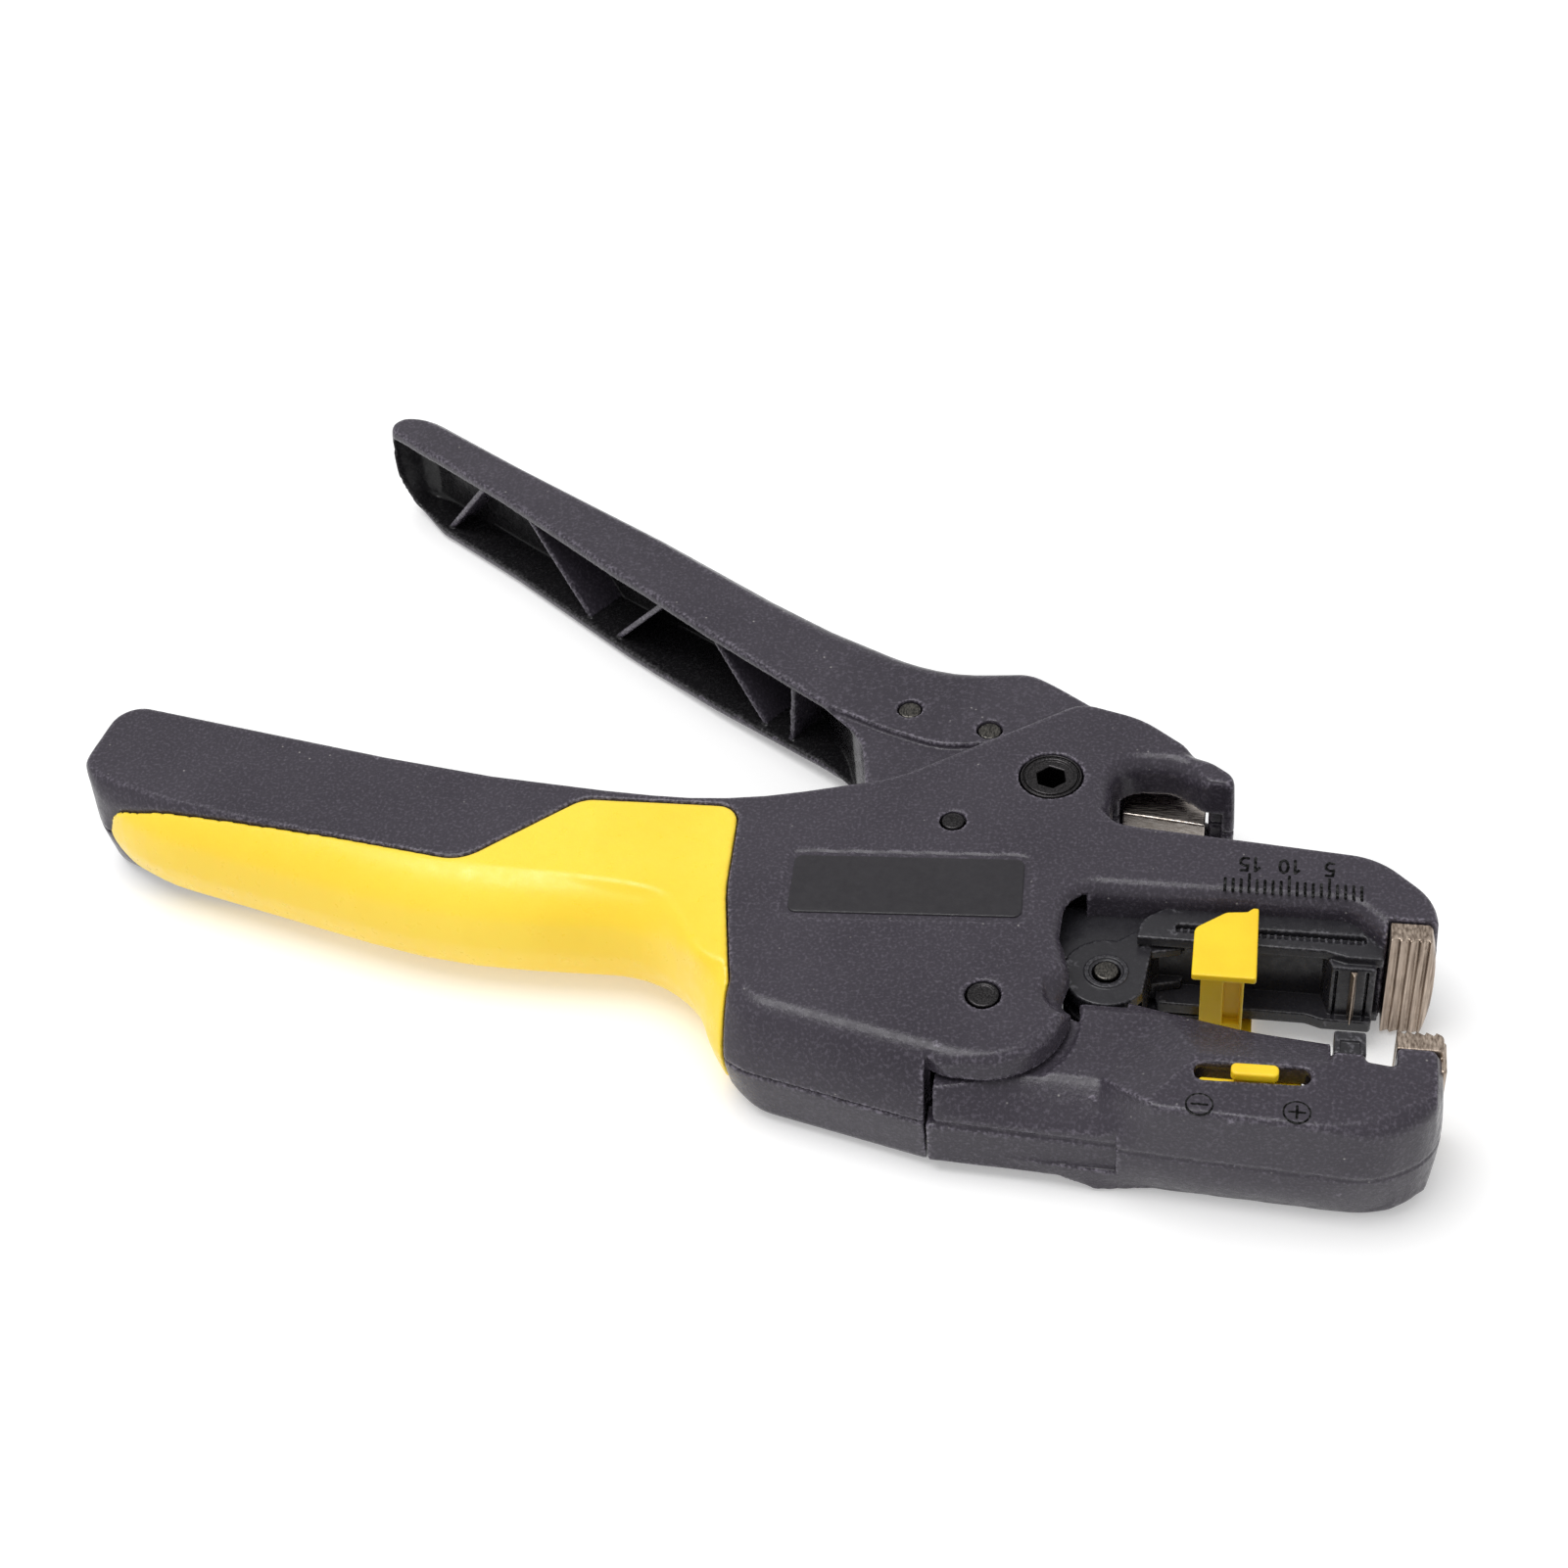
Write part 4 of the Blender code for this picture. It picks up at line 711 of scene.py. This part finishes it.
def make_slider():
    """Depth slider: a plate in the jaw, and the button that stands out of the slot."""
    grid = Grid((-19.0, -32.2, 3.6), (-5.4, -25.8, 10.0), 0.12)
    plate = grid.plan([(-18.2, -31.0), (-6.6, -30.6), (-6.6, -27.7), (-18.2, -28.0)])
    slider = both(plate, grid.slab(4.2, 5.6), 0.15)
    neck = both(grid.plan(box_outline(-14.6, -9.8, -30.4, -29.0)), grid.slab(5.0, HALF + 0.2), 0.1)
    ledge = grid.plan(rounded([(-18.8, -30.9, 0.9), (-14.0, -30.8, 0), (-14.0, -29.6, 0),
                               (-18.8, -29.6, 0.6)]))
    ledge = both(ledge, grid.slab(5.0, 7.6), 0.15)
    button = grid.plan(rounded([(-15.0, -30.5, 0.7), (-9.4, -30.4, 0.7), (-9.4, -28.6, 0.7),
                                (-15.0, -28.7, 0.7)]))
    button = both(button, grid.slab(HALF - 0.9, HALF + 0.5), 0.28)
    knob = both(grid.disc((-6.9, -30.3), 0.5), grid.slab(5.0, 7.6), 0.15)
    slider = np.minimum.reduce([slider, ledge, knob, either(neck, button, 0.1)])
    piece = mesh_field("depth_button", grid, slider, GLOSSY, 0.6)
    own(piece, "depth_slider", "depth_slider")


def make_lower_holder():
    grid = Grid((-3.6, -26.6, -5.9), (1.2, -20.4, 5.9), 0.12)
    block = both(grid.plan(box_outline(-3.0, 0.5, -26.0, -21.3)), grid.up - 5.1, 0.3)
    groove = both(grid.plan(box_outline(-2.0, -1.6, -24.0, -20.0)), 2.0 - grid.up)
    block = without(block, groove, 0.1)
    # Darker recess plastic: partly the holder's own colour, partly painted shade of the jaw's channel.
    piece = mesh_field("holder_block", grid, block, INNER_DARK_AND_SHADED, 0.6)
    own(piece, "lower_holder", "lower_blade_holder")


def make_blade(name, tip, root, body, node):
    """Wedge from its root's height in plan to the point of its tip."""
    grid = Grid((-1.4, min(tip[1], root) - 0.5, -5.0), (0.4, max(tip[1], root) + 0.5, 5.0), 0.08)
    wedge = both(grid.plan([(-0.95, root), (-0.05, root), tip]), grid.up - 4.6, 0.02)
    own(mesh_field(name, grid, wedge, NICKEL, 0.4), body, node)


# ---------------------------------------------------------------- clamping inserts

def make_insert(name, node, body, face, upwards, thickness, barrel):
    """Saw-toothed steel insert with a barrelled front edge."""
    x0, x1, teeth = 3.6 + 0.6 * (upwards > 0), 9.6 + 0.3 * (upwards > 0), 5
    pitch = (x1 - x0) / teeth
    profile = []
    for k in range(teeth):
        profile.append((x0 + pitch * k, face))
        profile.append((x0 + pitch * (k + 0.8), face - 0.5 * upwards))
    root = face - thickness * upwards
    profile += [(x1, face - 0.1 * upwards), (x1, root), (x0, root)]
    low = min(p[1] for p in profile) - (4.0 if upwards > 0 else 0.5)
    high = max(p[1] for p in profile) + 0.5
    grid = Grid((x0 - 0.5, low, -9.2), (x1 + 0.6, high, 9.2), 0.1)
    plate = both(grid.plan(profile), grid.up - 8.7, 0.12)
    plate = both(plate, (grid.x - x1 + barrel * grid.up ** 2 - 0.1) * 0.95, 0.5)
    if upwards > 0:
        flange = both(grid.plan(box_outline(9.2, 10.05, face - 5.2, face - 0.4, 0.4)), grid.up - 7.6, 0.3)
        plate = either(plate, flange, 0.2)
    own(mesh_field(name, grid, plate, NICKEL, 0.35), body, node)


# ---------------------------------------------------------------- carriage and stop

def make_carriage():
    """Slotted plates on both sides of a bar, with a sill on the far side and a hub for the pull pin."""
    grid = Grid((-41.2, -17.2, -6.4), (3.6, 3.7, 6.4), 0.14)
    plate = grid.plan(rounded([(-27.6, -6.3, 0), (-27.2, -3.0, 5), (-22.5, 0.2, 3), (-1.0, 0.2, 4),
                               (3.0, -4.6, 1), (3.0, -6.4, 0), (3.0, -7.3, 0), (-1.4, -7.3, 0.4),
                               (-4.2, -6.5, 0.4)]))
    carriage = both(plate, grid.cheeks(4.3, 5.9), 0.18)
    sill = grid.plan(rounded([(-25.0, -5.0, 0), (-25.0, -8.5, 1), (-6.0, -8.6, 2), (-4.0, -9.3, 1.5),
                              (2.2, -9.3, 0.5), (2.2, -5.0, 0)]))
    carriage = np.minimum(carriage, both(sill, grid.slab(-5.9, -4.0), 0.18))
    bar = grid.plan([(-27.0, -5.0), (-24.0, -2.0), (-1.6, -2.0), (2.2, -5.6), (2.2, -8.2), (-3.2, -8.2),
                     (-4.2, -5.0)])
    carriage = np.minimum(carriage, both(bar, grid.up - 4.8, 0.2))
    carriage = np.minimum(carriage, both(grid.plan(box_outline(-24, -2, -3, 3.1)), grid.up - 3.0, 0.2))
    hub = grid.plan(rounded([*arc(HUB, 5.5, 80, 330, 24), (-25.6, -6.0, 0), (-24.0, -4.0, 0),
                             (-27.0, -3.0, 0)]))
    carriage = np.minimum(carriage, both(hub, grid.up - 4.0, 0.2))
    web = grid.plan(rounded([(-40.4, -9.5, 2), (-40.4, 0.0, 2), (-20.0, 0.0, 0), (-22.0, -6.0, 0),
                             (-30.0, -8.0, 0)]))
    carriage = np.minimum(carriage, both(web, grid.cheeks(2.5, 3.8), 0.15))
    ring = np.abs(grid.disc(HUB, 2.5)) - 0.3
    carriage = np.minimum(carriage, both(ring, grid.cheeks(3.5, 4.25), 0.1))
    carriage = without(carriage, both(grid.plan(box_outline(-38, -26.4, -20, 0)), grid.slab(-0.1, 2.1)))
    carriage = without(carriage, grid.disc(HUB, 1.85))
    slot = grid.plan(box_outline(-22.9, 0.9, -5.0, -3.6, 0.6))
    tooth = np.maximum(np.abs((grid.x % 0.9) - 0.45) - 0.2, grid.y + 4.2)
    carriage = without(carriage, both(np.maximum(slot, -tooth), 4.9 - grid.up), 0.05)
    for x in (-2.6, 1.2):
        groove = grid.plan(box_outline(x - 0.15, x + 0.15, -9, -7.4))
        carriage = without(carriage, both(groove, grid.up - 4.2))
    # Darker recess plastic: partly the carriage's own colour, partly painted shade inside the body.
    piece = mesh_field("carriage_block", grid, carriage, INNER_DARK_AND_SHADED, 0.3)
    own(piece, "carriage", "blade_carriage")


def make_stop():
    """Length stop: a face on either side, joined by a waisted neck under the carriage."""
    grid = Grid((-20.9, -15.4, -9.6), (-12.0, -2.5, 9.6), 0.14)
    face = grid.plan(rounded([(-20.4, -14.9, 0.3), (-20.4, -7.0, 1.5), (-16.6, -4.0, 1.5), (-14.0, -3.7, 0),
                              (-13.3, -3.0, 0), (-12.6, -3.0, 0.2), (-12.5, -14.9, 0.3)]))
    stop = both(face, np.maximum(HALF - 1.1 - grid.up, grid.up - HALF + 0.05), 0.16)
    neck = both(grid.plan(box_outline(-19.2, -14.0, -11.3, -9.0)), grid.up - HALF + 0.8, 0.15)
    web = both(grid.plan(box_outline(-19.3, -13.9, -11.4, -8.8)), grid.up - 5.5, 0.2)
    waist = both(grid.plan(box_outline(-16.4, -14.3, -13.5, -10.2)), grid.up - 4.0)
    stop = np.minimum(stop, without(np.minimum(neck, web), waist, 0.2))
    own(mesh_field("stop_moulding", grid, stop, GLOSSY, 0.5), "stop", "length_stop")


# ---------------------------------------------------------------- pins and bushing

SOCKET_HALF = 1.85              # half the bolt's hexagon across its flats


def shaft(node):
    """Axis and height of a round CAD node, in plan millimetres."""
    low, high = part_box(node)
    centre = ((low[0] + high[0]) / 2 / MM + PLAN_X, (low[1] + high[1]) / 2 / MM + PLAN_Y)
    return centre, low[2] / MM - HALF, high[2] / MM - HALF


def grid_around(centre, margin, low, high, cell):
    corner = (centre[0] - margin, centre[1] - margin, low - 0.5)
    return Grid(corner, (centre[0] + margin, centre[1] + margin, high + 0.5), cell)


def make_pin(name, node, body, skin, radius, edge, dish=0.0):
    """Round pin with broken edges and, if given, a shallow turned dish in each end."""
    centre, low, high = shaft(node)
    grid = grid_around(centre, radius + 0.5, low, high, 0.1)
    around = grid.disc(centre, radius)
    pin = both(around, grid.slab(low, high), edge)
    if dish:
        pin = without(pin, both(around + 0.5, np.minimum(grid.z - low, high - grid.z) - dish), 0.12)
    own(mesh_field(name, grid, pin, skin, 0.4), body, node)


def make_bushing():
    """Hollow bolt: flat rim, turned groove and a hexagon socket right through."""
    centre, low, high = shaft("pivot_bushing")
    grid = grid_around(centre, 4.8, low, high, 0.14)
    middle, half = (low + high) / 2, (high - low) / 2
    depth = np.abs(grid.z - middle) - half
    bushing = both(grid.disc(centre, 4.18), depth, 0.3)
    groove = both(np.abs(grid.disc(centre, 3.72)) - 0.14, -0.35 - depth)
    bushing = without(bushing, groove, 0.08)
    bushing = without(bushing, both(grid.disc(centre, 3.1), -0.25 - depth), 0.15)
    flats = []
    for turn in (12, 72, 132):
        across = (grid.x - centre[0]) * cos(radians(turn)) + (grid.y - centre[1]) * sin(radians(turn))
        flats.append(np.abs(across) - SOCKET_HALF)
    bushing = without(bushing, np.maximum.reduce(flats), 0.2)
    own(mesh_field("hollow_bolt", grid, bushing, BLACK_OXIDE, 0.5), "body", "pivot_bushing")


# ---------------------------------------------------------------- marks

DIGITS = {"0": [(0.5, 2.0), (0.15, 1.7), (0.0, 1.0), (0.15, 0.3), (0.5, 0.0), (0.85, 0.3), (1.0, 1.0),
                (0.85, 1.7), (0.5, 2.0)],
          "1": [(0.1, 1.5), (0.55, 2.0), (0.55, 0.0)],
          "5": [(0.9, 2.0), (0.15, 2.0), (0.05, 1.1), (0.5, 1.25), (0.9, 0.95), (0.95, 0.5), (0.6, 0.05),
                (0.05, 0.1)]}
LINE, SUNK, PITCH = 0.19, 0.15, 1.45    # half a line's width, its depth, and a digit's step


def stroke(grid, points, half_width):
    """Distance to a line of round strokes in plan."""
    found = None
    for (ax, ay), (bx, by) in zip(points, points[1:]):
        ex, ey = bx - ax, by - ay
        along = np.clip(((grid.x - ax) * ex + (grid.y - ay) * ey) / (ex * ex + ey * ey), 0, 1)
        reach = np.sqrt((grid.x - ax - along * ex) ** 2 + (grid.y - ay - along * ey) ** 2) - half_width
        found = reach if found is None else np.minimum(found, reach)
    return found


def make_scale():
    """Millimetre scale on the fixed jaw, read from the jaw's tip, with its numbers towards the window."""
    grid = Grid((-18.0, -0.8, HALF - 0.25), (1.0, 6.5, HALF + 0.25), 0.07)
    ticks = []
    for k in range(18):
        top = 2.9 if k % 5 == 4 else 1.9
        ticks.append(stroke(grid, [(-k, -0.3), (-k, top)], LINE))
    for k, number in ((4, "5"), (9, "10"), (14, "15")):
        width = PITCH * len(number) - 0.35
        for place, digit in enumerate(number):
            left = -k + width / 2 - PITCH * place
            points = [(left - 1.1 * px, 5.8 - 1.15 * py) for px, py in DIGITS[digit]]
            ticks.append(stroke(grid, points, LINE))
    # The ticks and digits are a near-black fill that stands for the shade in their engraved grooves.
    marks = both(np.minimum.reduce(ticks), grid.slab(HALF - SUNK, HALF + PROUD))
    own(mesh_field("length_scale", grid, marks, GROOVE_SHADE_FILL), "body", None)


def make_signs():
    """Less and more signs on either side of the depth slider."""
    grid = Grid((-20.6, -37.1, PLATEAU - 0.25), (-5.0, -32.7, PLATEAU + 0.25), 0.07)
    signs = []
    for centre, bars in (((-18.4, -34.9), ((0.9, 0),)), ((-7.2, -34.9), ((0.9, 0), (0, 0.9)))):
        signs.append(np.abs(grid.disc(centre, 1.55)) - 0.16)
        for dx, dy in bars:
            ends = [(centre[0] - dx, centre[1] - dy), (centre[0] + dx, centre[1] + dy)]
            signs.append(stroke(grid, ends, 0.2))
    # The signs are a near-black fill that stands for the shade in their engraved grooves.
    marks = both(np.minimum.reduce(signs), grid.slab(PLATEAU - SUNK, PLATEAU + PROUD))
    own(mesh_field("depth_signs", grid, marks, GROOVE_SHADE_FILL), "lower_jaw", None)


# ---------------------------------------------------------------- making

make_shell("shell_upper", "body_shell_upper", False)
make_shell("shell_lower", "body_shell_lower", True)
make_grip()
make_label()
make_lever()
make_cutter()
make_jaw()
make_holder_cap()
make_recess_floor()
make_slider()
make_lower_holder()
make_blade("lower_edge", (-0.5, -19.75), -20.9, "lower_holder", "lower_blade")
make_blade("upper_edge", (-0.5, -9.45), -8.5, "carriage", "upper_blade")
make_insert("upper_teeth", "upper_clamp_insert", "body", -6.6, -1, 3.2, 0.014)
make_insert("lower_teeth", "lower_clamp_insert", "lower_jaw", -20.9, 1, 2.9, 0.003)
make_carriage()
make_stop()
make_bushing()
make_pin("rear_pin", "lever_pin_rear", "lever", PIN_STEEL, 1.6, 0.2)
make_pin("front_pin", "lever_pin_front", "lever", PIN_STEEL, 1.6, 0.2)
make_pin("small_pin", "rocker_pivot_pin", "body", BLACK_OXIDE, 1.5, 0.25)
make_pin("jaw_pin", "jaw_pivot_pin", "body", BLACK_OXIDE, 2.0, 0.25, 0.15)
make_pin("hub_pin", "link_pin", "carriage", PIN_STEEL, 1.55, 0.2)
make_scale()
make_signs()

for node, skin in (("rocker_pin", PIN_STEEL), ("pull_rocker", BLACK_OXIDE), ("pull_link", BLACK_OXIDE),
                   ("lever_return_spring", SPRING_STEEL), ("carriage_return_spring", SPRING_STEEL)):
    frame["nodes"][node].data.materials.clear()
    frame["nodes"][node].data.materials.append(skin)


# ---------------------------------------------------------------- camera, light and floor

AZIMUTH, ELEVATION, ROLL = 15.01, 43.42, -7.0
CAMERA_PLACE, FOCAL_LENGTH = (0.06812, -0.24086, 0.2386), 53.97
WORLD_LIGHT, FLOOR_LIGHT = 0.64, 0.28
FLOOR_REACH, FLOOR_GAP = 3.0, 0.0002


def make_camera():
    azimuth, elevation, roll = radians(AZIMUTH), radians(ELEVATION), radians(ROLL)
    back = Vector((cos(elevation) * sin(azimuth), -cos(elevation) * cos(azimuth), sin(elevation)))
    level = Vector((cos(azimuth), sin(azimuth), 0))
    upright = back.cross(level)
    right = level * cos(roll) + upright * sin(roll)
    upwards = upright * cos(roll) - level * sin(roll)
    data = bpy.data.cameras.new("camera")
    data.lens, data.sensor_width = FOCAL_LENGTH, 36.0
    data.clip_start, data.clip_end = 0.01, 10.0
    camera = bpy.data.objects.new("camera", data)
    turn = Matrix((right, upwards, back)).transposed().to_4x4()
    camera.matrix_world = Matrix.Translation(CAMERA_PLACE) @ turn
    bpy.context.scene.collection.objects.link(camera)
    bpy.context.scene.camera = camera


def make_lamp(name, place, target, size, power):
    data = bpy.data.lights.new(name, "AREA")
    data.shape, data.size, data.energy = "DISK", size, power
    lamp = bpy.data.objects.new(name, data)
    lamp.location = place
    lamp.rotation_euler = (Vector(target) - Vector(place)).to_track_quat("-Z", "Y").to_euler()
    bpy.context.scene.collection.objects.link(lamp)


def make_floor():
    data = bpy.data.meshes.new("floor")
    low = CAD_BOX[0][2] - FLOOR_GAP
    corners = [(FLOOR_REACH * x, FLOOR_REACH * y, low) for x, y in ((-1, -1), (1, -1), (1, 1), (-1, 1))]
    data.from_pydata(corners, [], [(0, 1, 2, 3)])
    floor = bpy.data.objects.new("floor", data)
    bpy.context.scene.collection.objects.link(floor)
    skin = Skin("floor_paper", 0.9, Emission_Strength=FLOOR_LIGHT, Emission_Color=(1.0, 1.0, 1.0, 1.0))
    skin.colour(skin.mix(skin.noise(0.02, 2.0), (0.78, 0.78, 0.78), (0.80, 0.80, 0.80)))
    data.materials.append(skin.made)


def make_world():
    world = bpy.data.worlds.new("studio")
    world.use_nodes = True
    background = world.node_tree.nodes["Background"]
    background.inputs["Color"].default_value = (1.0, 1.0, 1.0, 1.0)
    background.inputs["Strength"].default_value = WORLD_LIGHT
    bpy.context.scene.world = world


make_world()
make_floor()
make_lamp("key", (-0.16, -0.04, 0.86), (0, 0, 0), 0.60, 4.6)
make_camera()
bpy.context.scene.view_settings.view_transform = "Standard"
